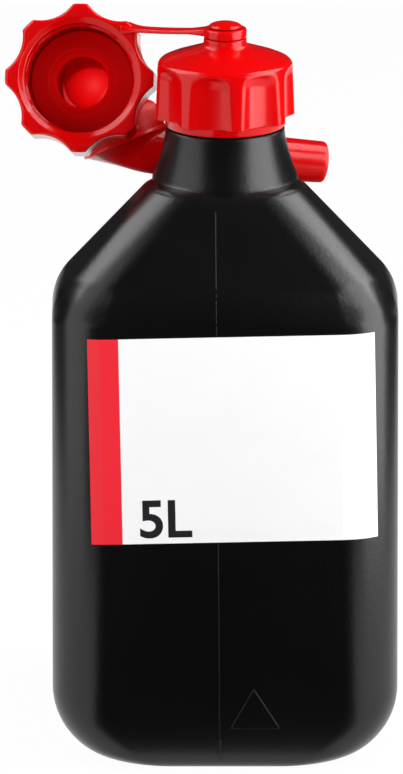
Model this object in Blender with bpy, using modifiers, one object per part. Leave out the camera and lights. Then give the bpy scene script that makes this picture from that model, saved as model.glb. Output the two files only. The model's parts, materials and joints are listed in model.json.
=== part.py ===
"""A five litre plastic fuel can with a screw cap and a pouring spout stowed through its handle.

Metres, +Z up. The origin is the middle of the flat base. +Y points from the front face to the
back, and +X to the right of someone facing the front.
"""
import math

import bmesh
import bpy
from mathutils import Matrix, Vector

# Can body
BODY_WIDTH = 0.145
BODY_DEPTH = 0.184
PLATEAU_HALF_WIDTH = 0.0311
NECK_ROOT_HEIGHT = 0.2430
SHOULDER_FALL = 0.0436
TOP_FALL = math.radians(18.0)
BODY_WALL = 0.0017
UPRIGHT_EDGE_RADIUS = 0.023
BASE_SIDE_RADIUS = 0.029
BASE_END_RADIUS = 0.009
SHOULDER_RADIUS = 0.0235
LEAN_RADIUS = 0.030
HIP_RADIUS = 0.023
RIDGE_RADIUS = 0.009
CREST_RADIUS = 0.040
BACK_TOP_RADIUS = 0.020
BASE_RIM_WIDTH = 0.010
BASE_BAR_WIDTH = 0.016
BASE_PANEL_RISE = 0.005
BASE_PANEL_CORNER = 0.012

# Neck
NECK_SETBACK = 0.057
NECK_ROOT_RADIUS = 0.0306
NECK_TOP_RADIUS = 0.0249
NECK_FOOT_RISE = 0.0215
NECK_THREAD_RISE = 0.0245
NECK_CURVE = 1.6
NECK_BORE_RADIUS = 0.0183
NECK_WALL = 0.0022
THREAD_ROOT_RADIUS = 0.0213
THREAD_PITCH = 0.005
THREAD_RIDGE_RADIUS = 0.00125
THREAD_START = math.radians(3.0)
NECK_THREAD_TURNS = 1.75
CAP_THREAD_TURNS = 1.5
THREAD_BORE_RADIUS = 0.0232

# Handle
HANDLE_WIDTH = 0.028
HANDLE_THICKNESS = 0.0165
HANDLE_WALL = 0.0018
HANDLE_CROWN_RISE = 0.0265
HANDLE_FOOT_FALL = 0.0430
HANDLE_REACH = 0.093
HANDLE_ROOT = 0.022
HANDLE_REACH_SHARES = (0.0, 0.11, 0.24, 0.42, 0.60, 0.78, 0.91, 0.97, 1.0)
HANDLE_RISE_SHARES = (0.72, 0.745, 0.86, 0.975, 1.0, 0.87, 0.62, 0.33, 0.0)

# Label
LABEL_WIDTH = 0.1206
LABEL_HEIGHT = 0.0885
LABEL_THICKNESS = 0.0003
LABEL_ACROSS = 0.0035
LABEL_BELOW_SHOULDER = 0.0559
LABEL_TILT = math.radians(1.2)

# Main cap
CAP_LOBE_RADIUS = 0.0294
CAP_SHOULDER_RADIUS = 0.0284
CAP_SKIRT_RADIUS = 0.0252
CAP_SKIRT_HEIGHT = 0.0035
CAP_SIDE_HEIGHT = 0.0268
CAP_TOP_RISE = 0.0072
CAP_CORNER_RADIUS = 0.0032
CAP_LAND_GAP = 0.0008
CAP_VALLEY_RADIUS = 0.0247
CAP_FLUTE_RADIUS = 0.0138
CAP_FLUTES = 8
CAP_TURNED = math.radians(10.25)
CAP_INNER_DEPTH = 0.0262
BOSS_RADIUS = 0.0090
BOSS_HEIGHT = 0.0037
SEAL_THICKNESS = 0.0018
SEAL_INNER_RADIUS = 0.0178

# Rivet that holds the strap's ring on the boss
RIVET_HEAD_RADIUS = 0.0075
RIVET_HEAD_HEIGHT = 0.0036
RIVET_SHANK_RADIUS = 0.0042
RIVET_SHANK_DEPTH = 0.0075

# Spout nut, its strap and its ring
NUT_RADIUS = 0.0313
NUT_VALLEY_RADIUS = 0.0263
NUT_FLUTE_RADIUS = 0.0145
NUT_LENGTH = 0.030
NUT_BACK_WALL = 0.0032
NUT_ACROSS = 0.0613
NUT_BEHIND_NECK = 0.014
NUT_BELOW_RIM = 0.0070
NUT_LEAN = math.radians(72.5)
NUT_YAW = math.radians(3.0)
NUT_THREAD_DEPTH = 0.006
RING_RADIUS = 0.0090
RING_HEIGHT = 0.0039
STRAP_WIDTH = 0.0052
STRAP_THICKNESS = 0.0012
STRAP_SAG = 0.0006
STRAP_INSET = 0.0035

# Elbow
ELBOW_RADIUS = 0.0124
ELBOW_BORE_RADIUS = 0.0108
ELBOW_BALL_RADIUS = 0.0138
ELBOW_THROAT_RADIUS = 0.0140
ELBOW_THROAT_DEPTH = 0.0028
ELBOW_FLANGE_RADIUS = 0.0216
ELBOW_FLANGE_THICKNESS = 0.0025
ELBOW_RUN = 0.0222
ELBOW_ASIDE = 0.0064
ELBOW_RISE = 0.0142
SPIGOT_DEPTH = 0.0080
GROOVE_DEPTH = 0.0008
GROOVE_WIDTH = 0.0024
O_RING_SECTION_RADIUS = 0.0007

# Spout head and pouring tube
HEAD_RADIUS = 0.0180
HEAD_HEIGHT = 0.0145
HEAD_ROUNDING = 0.0055
HEAD_RIM_RADIUS = 0.0187
HEAD_RIM_THICKNESS = 0.0013
HEAD_TILT_SHARES = (0.38, -0.23, -0.895)
HEEL_RADIUS = 0.0174
HEEL_NARROW_SHARE = 0.37
HEEL_DEPTH = 0.0078
HEEL_BOTTOM_DEPTH = 0.0093
TUBE_WALL = 0.0017
TUBE_ROOT_RADIUS = 0.0108
TUBE_TIP_RADIUS = 0.0088
TUBE_START_RISE = 0.0008
TUBE_REACH = 0.0840
TUBE_SET_BACK = 0.0212
TUBE_DROP = 0.0150
TUBE_REACH_SHARES = (0.0, 0.138, 0.30, 0.50, 0.80, 1.0)
TUBE_BACK_SHARES = (0.0, 0.10, 0.28, 0.49, 0.80, 1.0)
TUBE_DROP_SHARES = (0.0, 0.26, 0.39, 0.56, 0.83, 1.0)
TUBE_SIZE_SHARES = (1.0, 0.90, 0.75, 0.55, 0.20, 0.0)

# Shared values
GAP = 0.0003
OVERRUN = 0.004
WELD = 0.000001
MERGE = 0.00001
ROUND_STEPS = 48
RIDGE_STEPS = 24
TUBE_SIDES = 7
BEVEL_SEGMENTS = 5

FRONT = -BODY_DEPTH / 2
NECK_Y = FRONT + NECK_SETBACK
SHOULDER_HEIGHT = NECK_ROOT_HEIGHT - SHOULDER_FALL
NECK_LAND_HEIGHT = NECK_ROOT_HEIGHT + NECK_FOOT_RISE
NECK_RIM_HEIGHT = NECK_LAND_HEIGHT + NECK_THREAD_RISE
HANDLE_CROWN_HEIGHT = NECK_ROOT_HEIGHT + HANDLE_CROWN_RISE
HANDLE_FOOT_HEIGHT = NECK_ROOT_HEIGHT - HANDLE_FOOT_FALL
LABEL_MIDDLE_HEIGHT = SHOULDER_HEIGHT - LABEL_BELOW_SHOULDER
NUT_HEIGHT = NECK_RIM_HEIGHT - NUT_BELOW_RIM
BEVEL_SPAN = CREST_RADIUS
NECK_AXIS = Vector((0, NECK_Y, 0))
CAP_BASE = NECK_LAND_HEIGHT + CAP_LAND_GAP
CAP_SIDE_TOP = CAP_BASE + CAP_SIDE_HEIGHT
CAP_BOSS_FOOT = CAP_SIDE_TOP + CAP_TOP_RISE
BOSS_TOP = CAP_BOSS_FOOT + BOSS_HEIGHT - GAP
CAP_CEILING = CAP_BASE + CAP_INNER_DEPTH
RING_BASE = BOSS_TOP + GAP
RING_TOP = RING_BASE + RING_HEIGHT
NUT_MOUTH = Vector((-NUT_ACROSS, NECK_Y + NUT_BEHIND_NECK, NUT_HEIGHT))
NUT_BACK = Matrix.Rotation(-NUT_YAW, 3, "Z") @ Matrix.Rotation(NUT_LEAN, 3, "X") @ Vector((0, 0, -1))
HEAD_AXIS = Vector(HEAD_TILT_SHARES).normalized()
ELBOW_SIDE = HEAD_AXIS.cross(NUT_BACK).normalized()
ELBOW_CORNER = NUT_MOUTH + NUT_BACK * (NUT_LENGTH + ELBOW_RUN) + ELBOW_SIDE * (ELBOW_ASIDE / 2)
HEAD_RIM = ELBOW_CORNER + ELBOW_SIDE * (ELBOW_ASIDE / 2) + HEAD_AXIS * (HEAD_HEIGHT + ELBOW_RISE)

PARTS = "fuel_can"
CUTTERS = "fuel_can_cutters"


def clear_scene():
    for item in list(bpy.data.objects):
        bpy.data.objects.remove(item, do_unlink=True)
    for name in (PARTS, CUTTERS):
        collection = bpy.data.collections.get(name) or bpy.data.collections.new(name)
        if name not in bpy.context.scene.collection.children:
            bpy.context.scene.collection.children.link(collection)


def plastic(name, colour, roughness):
    """A plain material for one sub-part."""
    material = bpy.data.materials.new(name)
    material.use_nodes = True
    shader = material.node_tree.nodes["Principled BSDF"]
    shader.inputs["Base Color"].default_value = (*colour, 1)
    shader.inputs["Roughness"].default_value = roughness
    shader.inputs["Metallic"].default_value = 0
    return material


def place(name, mesh, group=CUTTERS):
    """Put a mesh in the scene as a part or, by default, as a cutter that isn't part of the can."""
    item = bpy.data.objects.new(name, mesh)
    bpy.data.collections[group].objects.link(item)
    if group == CUTTERS:
        item.hide_render = True
        item.display_type = "WIRE"
    return item


def finish(item, material):
    """Weld a part's cut edges and give it its material and smooth shading with crisp edges."""
    weld = item.modifiers.new("Weld the cuts", "WELD")
    weld.merge_threshold = WELD
    item.data.materials.clear()
    item.data.materials.append(material)
    item.data.shade_smooth()
    item.data.set_sharp_from_angle(angle=math.radians(30))


def baked(item, name, group=CUTTERS):
    """The item's evaluated shape as plain triangles in its own frame, in place of the item."""
    bpy.context.view_layer.update()
    graph = bpy.context.evaluated_depsgraph_get()
    mesh = bpy.data.meshes.new_from_object(item.evaluated_get(graph))
    bpy.data.objects.remove(item)
    shape = bmesh.new()
    shape.from_mesh(mesh)
    bmesh.ops.triangulate(shape, faces=shape.faces)
    bmesh.ops.remove_doubles(shape, verts=shape.verts, dist=WELD)
    shape.to_mesh(mesh)
    shape.free()
    return place(name, mesh, group)


def combine(target, other, operation):
    modifier = target.modifiers.new(f"{operation.title()} {other.name}", "BOOLEAN")
    modifier.operation = operation
    modifier.object = other
    modifier.solver = "EXACT"


def turned(name, profile, closed=False, group=CUTTERS, steps=ROUND_STEPS):
    """A turned solid about its own Z axis. The profile runs down its outer side, top to bottom."""
    mesh = bpy.data.meshes.new(name)
    count = len(profile)
    joins = [(place_no, place_no + 1) for place_no in range(count - 1)]
    if closed:
        joins.append((count - 1, 0))
    mesh.from_pydata([(radius, 0, height) for radius, height in profile], joins, [])
    item = place(name, mesh, group)
    screw = item.modifiers.new("Turn", "SCREW")
    screw.steps = steps
    screw.render_steps = steps
    screw.use_merge_vertices = True
    screw.merge_threshold = MERGE
    screw.use_smooth_shade = True
    return item


def rod(name, radius, low, high, group=CUTTERS, steps=ROUND_STEPS):
    """A plain round bar about its own Z axis."""
    return turned(name, [(0, high), (radius, high), (radius, low), (0, low)], group=group, steps=steps)


def smooth_route(points, spans):
    """Points along a smooth curve through the given points, of any number of coordinates."""
    ends = [points[0] * 2 - points[1]] + list(points) + [points[-1] * 2 - points[-2]]
    route = []
    for at in range(1, len(ends) - 2):
        before, start, end, after = ends[at - 1:at + 3]
        for step in range(spans):
            share = step / spans
            slope_in = (end - before) / 2
            slope_out = (after - start) / 2
            cube, square = share ** 3, share ** 2
            route.append(start * (2 * cube - 3 * square + 1) + slope_in * (cube - 2 * square + share)
                         + end * (3 * square - 2 * cube) + slope_out * (cube - square))
    route.append(points[-1].copy())
    return route


def swept(name, route, radii, resolution=TUBE_SIDES):
    """A closed tube along a route, as a mesh with welded caps."""
    curve = bpy.data.curves.new(name, "CURVE")
    curve.dimensions = "3D"
    curve.bevel_depth = max(radii)
    curve.bevel_resolution = resolution
    curve.use_fill_caps = True
    spline = curve.splines.new("POLY")
    spline.points.add(len(route) - 1)
    for point, place_at, radius in zip(spline.points, route, radii):
        point.co = (*place_at, 1)
        point.radius = radius / max(radii)
    guide = bpy.data.objects.new(name + "_guide", curve)
    bpy.data.collections[CUTTERS].objects.link(guide)
    bpy.context.view_layer.update()
    graph = bpy.context.evaluated_depsgraph_get()
    mesh = bpy.data.meshes.new_from_object(guide.evaluated_get(graph))
    shape = bmesh.new()
    shape.from_mesh(mesh)
    bmesh.ops.remove_doubles(shape, verts=shape.verts, dist=WELD)
    bmesh.ops.recalc_face_normals(shape, faces=shape.faces)
    shape.to_mesh(mesh)
    shape.free()
    item = place(name, mesh)
    item.matrix_world = guide.matrix_world
    bpy.data.objects.remove(guide)
    return item


def helix(name, radius, turns, start_height, start_angle=0):
    """One round ridge of a screw thread about its own Z axis."""
    count = round(turns * RIDGE_STEPS)
    route = []
    for step in range(count + 1):
        angle = THREAD_START + start_angle + math.tau * step / RIDGE_STEPS
        climb = THREAD_PITCH * step / RIDGE_STEPS
        route.append(Vector((radius * math.cos(angle), radius * math.sin(angle), start_height + climb)))
    return swept(name, route, [THREAD_RIDGE_RADIUS] * len(route), resolution=1)


def at_neck(item):
    item.matrix_world = Matrix.Translation(NECK_AXIS)
    return item


BASE, END, SIDE, TOP, SHOULDER, LEAN, FALL = range(7)
EDGE_RADII = {
    frozenset((END, SIDE)): UPRIGHT_EDGE_RADIUS,
    frozenset((BASE, SIDE)): BASE_SIDE_RADIUS,
    frozenset((BASE, END)): BASE_END_RADIUS,
    frozenset((SIDE, SHOULDER)): SHOULDER_RADIUS,
    frozenset((END, LEAN)): LEAN_RADIUS,
    frozenset((LEAN, SHOULDER)): HIP_RADIUS,
    frozenset((TOP, SHOULDER)): RIDGE_RADIUS,
    frozenset((TOP, LEAN)): RIDGE_RADIUS,
    frozenset((FALL, SHOULDER)): RIDGE_RADIUS,
    frozenset((SHOULDER,)): CREST_RADIUS,
    frozenset((TOP, FALL)): CREST_RADIUS,
    frozenset((END, SHOULDER)): BACK_TOP_RADIUS,
    frozenset((END, FALL)): BACK_TOP_RADIUS,
}


def cut_away(shape, kinds, point, normal, kind):
    """Cut everything past a plane off a convex shape and close it with one face."""
    everything = shape.verts[:] + shape.edges[:] + shape.faces[:]
    cut = bmesh.ops.bisect_plane(shape, geom=everything, dist=WELD, plane_co=point,
                                 plane_no=normal, clear_outer=True)
    rim = [item for item in cut["geom_cut"] if isinstance(item, bmesh.types.BMEdge)]
    for face in bmesh.ops.holes_fill(shape, edges=rim)["faces"]:
        face[kinds] = kind


def rounded_body(name, inset):
    """The can's box with its sloped shoulders and rounded edges, all faces moved in by inset."""
    shape = bmesh.new()
    bmesh.ops.create_cube(shape, size=1)
    size = Vector((BODY_WIDTH - 2 * inset, BODY_DEPTH - 2 * inset, NECK_ROOT_HEIGHT - 2 * inset))
    bmesh.ops.scale(shape, vec=size, verts=shape.verts)
    bmesh.ops.translate(shape, vec=Vector((0, 0, NECK_ROOT_HEIGHT / 2)), verts=shape.verts)
    shape.normal_update()
    kinds = shape.faces.layers.int.new("kind")
    for face in shape.faces:
        if abs(face.normal.x) > 0.5:
            face[kinds] = SIDE
        elif abs(face.normal.y) > 0.5:
            face[kinds] = END
        else:
            face[kinds] = TOP if face.normal.z > 0 else BASE
    rise = NECK_ROOT_HEIGHT - SHOULDER_HEIGHT
    run = BODY_WIDTH / 2 - PLATEAU_HALF_WIDTH
    lean_run = NECK_SETBACK - PLATEAU_HALF_WIDTH
    corner_height = SHOULDER_HEIGHT - inset * (math.hypot(rise, run) - rise) / run
    planes = [(Vector((0, FRONT + inset, corner_height)), Vector((0, -rise, lean_run)), LEAN),
              (Vector((0, NECK_Y, NECK_ROOT_HEIGHT - inset)), Vector((0, math.tan(TOP_FALL), 1)), FALL)]
    for hand in (1, -1):
        corner = Vector((hand * (BODY_WIDTH / 2 - inset), NECK_Y, corner_height))
        planes.append((corner, Vector((hand * rise, 0, run)), SHOULDER))
        planes.append((corner, Vector((hand * rise, run * math.tan(TOP_FALL), run)), SHOULDER))
    for point, normal, kind in planes:
        cut_away(shape, kinds, point, normal, kind)
    bmesh.ops.remove_doubles(shape, verts=shape.verts, dist=MERGE)
    shape.normal_update()
    weights = shape.edges.layers.float.new("bevel_weight_edge")
    for edge in shape.edges:
        first, second = edge.link_faces
        radius = EDGE_RADII[frozenset((first[kinds], second[kinds]))]
        turn = first.normal.angle(second.normal)
        edge[weights] = max(radius - inset, 0) * math.tan(turn / 2) / BEVEL_SPAN
    mesh = bpy.data.meshes.new(name)
    shape.to_mesh(mesh)
    shape.free()
    item = place(name, mesh)
    bevel = item.modifiers.new("Round the edges", "BEVEL")
    bevel.limit_method = "WEIGHT"
    bevel.width = BEVEL_SPAN
    bevel.segments = BEVEL_SEGMENTS
    bevel.use_clamp_overlap = False
    return item


def base_panels(name, grown):
    """The two raised panels under the can, with its rim and cross bar round them. Grown for the inside."""
    steps = 5
    near = BASE_BAR_WIDTH / 2
    far = BODY_DEPTH / 2 - BASE_END_RADIUS - BASE_RIM_WIDTH
    shape = bmesh.new()
    for end in (1, -1):
        rings = []
        for height, inset in ((-OVERRUN, -OVERRUN), (BASE_PANEL_RISE + grown, BASE_PANEL_RISE)):
            across = BODY_WIDTH / 2 - BASE_SIDE_RADIUS - BASE_RIM_WIDTH - inset + grown
            along = (far - near) / 2 - inset + grown
            corner = BASE_PANEL_CORNER - inset + grown
            ring = []
            for quarter, (hand, way) in enumerate(((1, 1), (-1, 1), (-1, -1), (1, -1))):
                for step in range(steps + 1):
                    angle = (quarter + step / steps) * math.pi / 2
                    ring.append(shape.verts.new((
                        hand * (across - corner) + corner * math.cos(angle),
                        end * (far + near) / 2 + way * (along - corner) + corner * math.sin(angle),
                        height)))
            rings.append(ring)
        low, high = rings
        shape.faces.new(list(reversed(low)))
        shape.faces.new(high)
        for at in range(len(low)):
            shape.faces.new((low[at - 1], low[at], high[at], high[at - 1]))
    mesh = bpy.data.meshes.new(name)
    shape.to_mesh(mesh)
    shape.free()
    return place(name, mesh)


def neck_outline():
    """The neck's outer side, from its rim down its thread wall and its flared foot."""
    steps = 6
    outline = [(0, NECK_RIM_HEIGHT), (THREAD_ROOT_RADIUS, NECK_RIM_HEIGHT),
               (THREAD_ROOT_RADIUS, NECK_LAND_HEIGHT)]
    for step in range(steps + 1):
        fall = step / steps
        radius = NECK_TOP_RADIUS + (NECK_ROOT_RADIUS - NECK_TOP_RADIUS) * fall ** NECK_CURVE
        outline.append((radius, NECK_LAND_HEIGHT + (NECK_ROOT_HEIGHT - NECK_LAND_HEIGHT) * fall))
    return outline


def handle_route():
    """The handle's middle line, from inside the neck over the hand's opening to the can's back."""
    rise = HANDLE_CROWN_HEIGHT - HANDLE_FOOT_HEIGHT
    points = []
    for reach_share, rise_share in zip(HANDLE_REACH_SHARES, HANDLE_RISE_SHARES):
        points.append(Vector((0, NECK_Y + HANDLE_ROOT + HANDLE_REACH * reach_share,
                              HANDLE_FOOT_HEIGHT + rise * rise_share)))
    return smooth_route(points, 3)


def widen(item, width, thickness):
    """Stretch a round bar in the centre plane to an oval of the given width."""
    for vertex in item.data.vertices:
        vertex.co.x *= width / thickness


def can_body():
    body = rounded_body("can_body", 0)
    bpy.data.collections[CUTTERS].objects.unlink(body)
    bpy.data.collections[PARTS].objects.link(body)
    body.hide_render = False
    body.display_type = "TEXTURED"
    combine(body, base_panels("base_panels", 0), "DIFFERENCE")

    outline = neck_outline()
    deep = NECK_ROOT_HEIGHT - OVERRUN
    neck = turned("neck_blank", outline + [(NECK_ROOT_RADIUS, deep), (0, deep)])
    combine(body, at_neck(neck), "UNION")
    thread = helix("neck_thread", THREAD_ROOT_RADIUS, NECK_THREAD_TURNS,
                   CAP_BASE + CAP_SKIRT_HEIGHT + THREAD_PITCH)
    combine(body, at_neck(thread), "UNION")
    route = handle_route()
    handle = swept("handle_blank", route, [HANDLE_THICKNESS / 2] * len(route))
    widen(handle, HANDLE_WIDTH, HANDLE_THICKNESS)
    combine(body, handle, "UNION")

    cavity = rounded_body("cavity", BODY_WALL)
    combine(cavity, base_panels("base_inside", BODY_WALL), "DIFFERENCE")
    flare = [(radius - NECK_WALL, height) for radius, height in outline[3:]]
    throat = [(0, NECK_RIM_HEIGHT + OVERRUN), (NECK_BORE_RADIUS, NECK_RIM_HEIGHT + OVERRUN),
              (NECK_BORE_RADIUS, NECK_LAND_HEIGHT)]
    foot = NECK_ROOT_HEIGHT - 2 * OVERRUN
    bore = turned("neck_bore", throat + flare[1:] + [(flare[-1][0], foot), (0, foot)])
    combine(cavity, at_neck(bore), "UNION")
    inner = HANDLE_THICKNESS - 2 * HANDLE_WALL
    hollow = swept("handle_hollow", route, [inner / 2] * len(route), resolution=4)
    widen(hollow, HANDLE_WIDTH - 2 * HANDLE_WALL, inner)
    combine(cavity, hollow, "UNION")
    combine(body, cavity, "DIFFERENCE")
    finish(body, plastic("black_plastic", (0.012, 0.010, 0.011), 0.38))
    return body


def on_front_wall(across, lift):
    """The point on the front wall, or lifted off it, at a distance round it from the middle."""
    flat = BODY_WIDTH / 2 - UPRIGHT_EDGE_RADIUS
    past = abs(across) - flat
    if past <= 0:
        return across, FRONT - lift
    angle = past / UPRIGHT_EDGE_RADIUS
    reach = UPRIGHT_EDGE_RADIUS + lift
    side = flat + reach * math.sin(angle)
    return math.copysign(side, across), FRONT + UPRIGHT_EDGE_RADIUS - reach * math.cos(angle)


def label():
    shape = bmesh.new()
    bmesh.ops.create_grid(shape, x_segments=24, y_segments=4, size=0.5)
    for vertex in shape.verts:
        across, up = vertex.co.x * LABEL_WIDTH, vertex.co.y * LABEL_HEIGHT
        along = LABEL_ACROSS + across * math.cos(LABEL_TILT) - up * math.sin(LABEL_TILT)
        height = LABEL_MIDDLE_HEIGHT + across * math.sin(LABEL_TILT) + up * math.cos(LABEL_TILT)
        vertex.co = (*on_front_wall(along, GAP), height)
    mesh = bpy.data.meshes.new("label")
    shape.to_mesh(mesh)
    shape.free()
    item = place("label", mesh, PARTS)
    sheet = item.modifiers.new("Thickness", "SOLIDIFY")
    sheet.thickness = LABEL_THICKNESS
    sheet.offset = 1
    finish(item, plastic("label_film", (0.85, 0.85, 0.85), 0.45))
    return item


def flutes(name, count, valley, radius, low, high, turned_by):
    """The finger grooves round a cap or a nut, each with a round top, as one set of cutters."""
    half_turns = 6
    profile = [(radius * math.sin(step * math.pi / 2 / half_turns),
                high - radius * (1 - math.cos(step * math.pi / 2 / half_turns)))
               for step in range(half_turns + 1)]
    profile += [(radius, low), (0, low)]
    bar = baked(turned(name + "_bar", profile), name + "_bar")
    shape = bmesh.new()
    for number in range(count):
        before = len(shape.verts)
        shape.from_mesh(bar.data)
        shape.verts.ensure_lookup_table()
        angle = turned_by + math.tau * (number + 0.5) / count
        offset = Vector(((valley + radius) * math.cos(angle), (valley + radius) * math.sin(angle), 0))
        bmesh.ops.translate(shape, vec=offset, verts=shape.verts[before:])
    bpy.data.objects.remove(bar)
    mesh = bpy.data.meshes.new(name)
    shape.to_mesh(mesh)
    shape.free()
    return place(name, mesh)


def main_cap():
    """The lobed cap: its side, skirt ring, domed top and boss, with a thread inside."""
    side_low = CAP_BASE + CAP_SKIRT_HEIGHT
    outline = [(0, BOSS_TOP), (BOSS_RADIUS, BOSS_TOP), (BOSS_RADIUS, CAP_BOSS_FOOT + BOSS_HEIGHT / 4),
               (BOSS_RADIUS * 1.12, CAP_BOSS_FOOT)]
    corner_steps = 4
    middle = CAP_SHOULDER_RADIUS - CAP_CORNER_RADIUS
    outline.append((middle, CAP_SIDE_TOP + CAP_CORNER_RADIUS / 2))
    for step in range(1, corner_steps + 1):
        angle = step * math.pi / 2 / corner_steps
        outline.append((middle + CAP_CORNER_RADIUS * math.sin(angle),
                        CAP_SIDE_TOP - CAP_CORNER_RADIUS / 2 + CAP_CORNER_RADIUS * math.cos(angle)))
    outline += [(CAP_LOBE_RADIUS, side_low), (CAP_SKIRT_RADIUS, side_low), (CAP_SKIRT_RADIUS, CAP_BASE),
                (0, CAP_BASE)]
    cap = at_neck(turned("main_cap", outline, group=PARTS))
    grooves = flutes("cap_flutes", CAP_FLUTES, CAP_VALLEY_RADIUS, CAP_FLUTE_RADIUS,
                     side_low, CAP_SIDE_TOP + CAP_FLUTE_RADIUS / 3, CAP_TURNED)
    combine(cap, at_neck(grooves), "DIFFERENCE")
    bore = rod("cap_bore", THREAD_BORE_RADIUS, CAP_BASE - OVERRUN, CAP_CEILING)
    combine(cap, at_neck(bore), "DIFFERENCE")
    thread = helix("cap_thread", THREAD_BORE_RADIUS, CAP_THREAD_TURNS,
                   side_low + THREAD_PITCH * 3 / 4, math.pi / 2)
    combine(cap, at_neck(thread), "UNION")
    hole = rod("rivet_hole", RIVET_SHANK_RADIUS + GAP, BOSS_TOP - RIVET_SHANK_DEPTH, BOSS_TOP + OVERRUN,
               steps=ROUND_STEPS // 2)
    combine(cap, at_neck(hole), "DIFFERENCE")
    finish(cap, plastic("red_plastic", (0.60, 0.004, 0.008), 0.20))
    return cap


def cap_seal():
    low = NECK_RIM_HEIGHT + GAP
    high = low + SEAL_THICKNESS
    outer = THREAD_BORE_RADIUS - GAP
    profile = [(outer, high), (outer, low), (SEAL_INNER_RADIUS, low), (SEAL_INNER_RADIUS, high)]
    seal = at_neck(turned("cap_seal", profile, closed=True, group=PARTS))
    finish(seal, plastic("black_rubber", (0.02, 0.02, 0.02), 0.7))
    return seal


def strap_rivet():
    """The domed button on the ring, with its shank down in the cap's boss."""
    head_low = RING_TOP + GAP
    steps = 5
    profile = [(RIVET_HEAD_RADIUS * math.sin(step * math.pi / 2 / steps),
                head_low + RIVET_HEAD_HEIGHT * math.cos(step * math.pi / 2 / steps) * 0.8
                + RIVET_HEAD_HEIGHT * 0.2)
               for step in range(steps + 1)]
    foot = BOSS_TOP - RIVET_SHANK_DEPTH + GAP
    profile += [(RIVET_HEAD_RADIUS, head_low), (RIVET_SHANK_RADIUS, head_low), (RIVET_SHANK_RADIUS, foot),
                (0, foot)]
    rivet = at_neck(turned("strap_rivet", profile, group=PARTS, steps=ROUND_STEPS // 2))
    finish(rivet, plastic("rivet_plastic", (0.60, 0.004, 0.008), 0.25))
    return rivet


def nut_place():
    """The nut's own frame: Z out of its mouth toward the front, X to the right."""
    return Matrix.Translation(NUT_MOUTH) @ Matrix.Rotation(-NUT_YAW, 4, "Z") @ Matrix.Rotation(NUT_LEAN, 4, "X")


def strap_blank():
    """The flat strap from the nut's upper right lobe to the ring on the cap's boss."""
    lobe = math.radians(45)
    anchor_radius = NUT_RADIUS - STRAP_INSET
    anchor = nut_place() @ Vector((anchor_radius * math.cos(lobe), anchor_radius * math.sin(lobe)
                                   + STRAP_INSET / 2, -STRAP_INSET))
    ring = NECK_AXIS + Vector((0, 0, RING_BASE + RING_HEIGHT / 2))
    way = Vector((ring.x - anchor.x, ring.y - anchor.y, 0)).normalized()
    aside = Vector((-way.y, way.x, 0))
    ring_end = ring - way * (RIVET_SHANK_RADIUS + GAP + STRAP_THICKNESS)
    count = 10
    shape = bmesh.new()
    bmesh.ops.create_grid(shape, x_segments=count, y_segments=1, size=0.5)
    for vertex in shape.verts:
        share = vertex.co.x + 0.5
        flare = 1 + 0.55 * max(share - 0.75, 0) / 0.25
        middle = anchor.lerp(ring_end, share) - Vector((0, 0, STRAP_SAG * math.sin(math.pi * share)))
        vertex.co = middle + aside * vertex.co.y * STRAP_WIDTH * flare
    mesh = bpy.data.meshes.new("strap_blank")
    shape.to_mesh(mesh)
    shape.free()
    item = place("strap_blank", mesh)
    sheet = item.modifiers.new("Thickness", "SOLIDIFY")
    sheet.thickness = STRAP_THICKNESS
    sheet.offset = 0
    return item


def spout_nut():
    """The spout's union nut with its moulded strap and ring."""
    corner = NUT_LENGTH / 20
    outline = [(0, 0), (NUT_RADIUS - corner, 0), (NUT_RADIUS, -corner), (NUT_RADIUS, -NUT_LENGTH + corner),
               (NUT_RADIUS - corner, -NUT_LENGTH), (0, -NUT_LENGTH)]
    blank = turned("nut_blank", outline)
    floor = -NUT_LENGTH + NUT_BACK_WALL
    throat = ELBOW_RADIUS + GAP
    bore = [(0, OVERRUN), (THREAD_BORE_RADIUS, OVERRUN), (THREAD_BORE_RADIUS, floor), (throat, floor),
            (throat, -NUT_LENGTH - OVERRUN), (0, -NUT_LENGTH - OVERRUN)]
    grooves = flutes("nut_flutes", CAP_FLUTES, NUT_VALLEY_RADIUS, NUT_FLUTE_RADIUS,
                     -NUT_LENGTH - OVERRUN, NUT_FLUTE_RADIUS + OVERRUN, 0)
    combine(blank, grooves, "DIFFERENCE")
    hollow = turned("nut_bore", bore)
    start = -NUT_THREAD_DEPTH - THREAD_PITCH * 2
    thread = helix("nut_thread", THREAD_BORE_RADIUS, CAP_THREAD_TURNS, start, math.pi / 2)
    combine(hollow, thread, "DIFFERENCE")
    combine(blank, baked(hollow, "nut_hollow"), "DIFFERENCE")
    nut = baked(blank, "spout_nut", PARTS)
    nut.matrix_world = nut_place()
    combine(nut, strap_blank(), "UNION")
    ring = at_neck(rod("ring_blank", RING_RADIUS, RING_BASE, RING_TOP))
    combine(nut, ring, "UNION")
    eye = rod("ring_eye", RIVET_SHANK_RADIUS + GAP, RING_BASE - OVERRUN / 2, RING_TOP + OVERRUN / 2,
              steps=ROUND_STEPS // 2)
    combine(nut, at_neck(eye), "DIFFERENCE")
    finish(nut, plastic("red_nut_plastic", (0.60, 0.004, 0.008), 0.22))
    return nut


def head_place():
    """The head's own frame: Z back up its axis from the middle of its rim."""
    turn = HEAD_AXIS.rotation_difference(Vector((0, 0, -1))).inverted()
    return Matrix.Translation(HEAD_RIM) @ turn.to_matrix().to_4x4()


def ball(name, radius, centre):
    shape = bmesh.new()
    bmesh.ops.create_uvsphere(shape, u_segments=40, v_segments=20, radius=radius)
    mesh = bpy.data.meshes.new(name)
    shape.to_mesh(mesh)
    shape.free()
    item = place(name, mesh)
    item.matrix_world = Matrix.Translation(centre)
    return item


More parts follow.
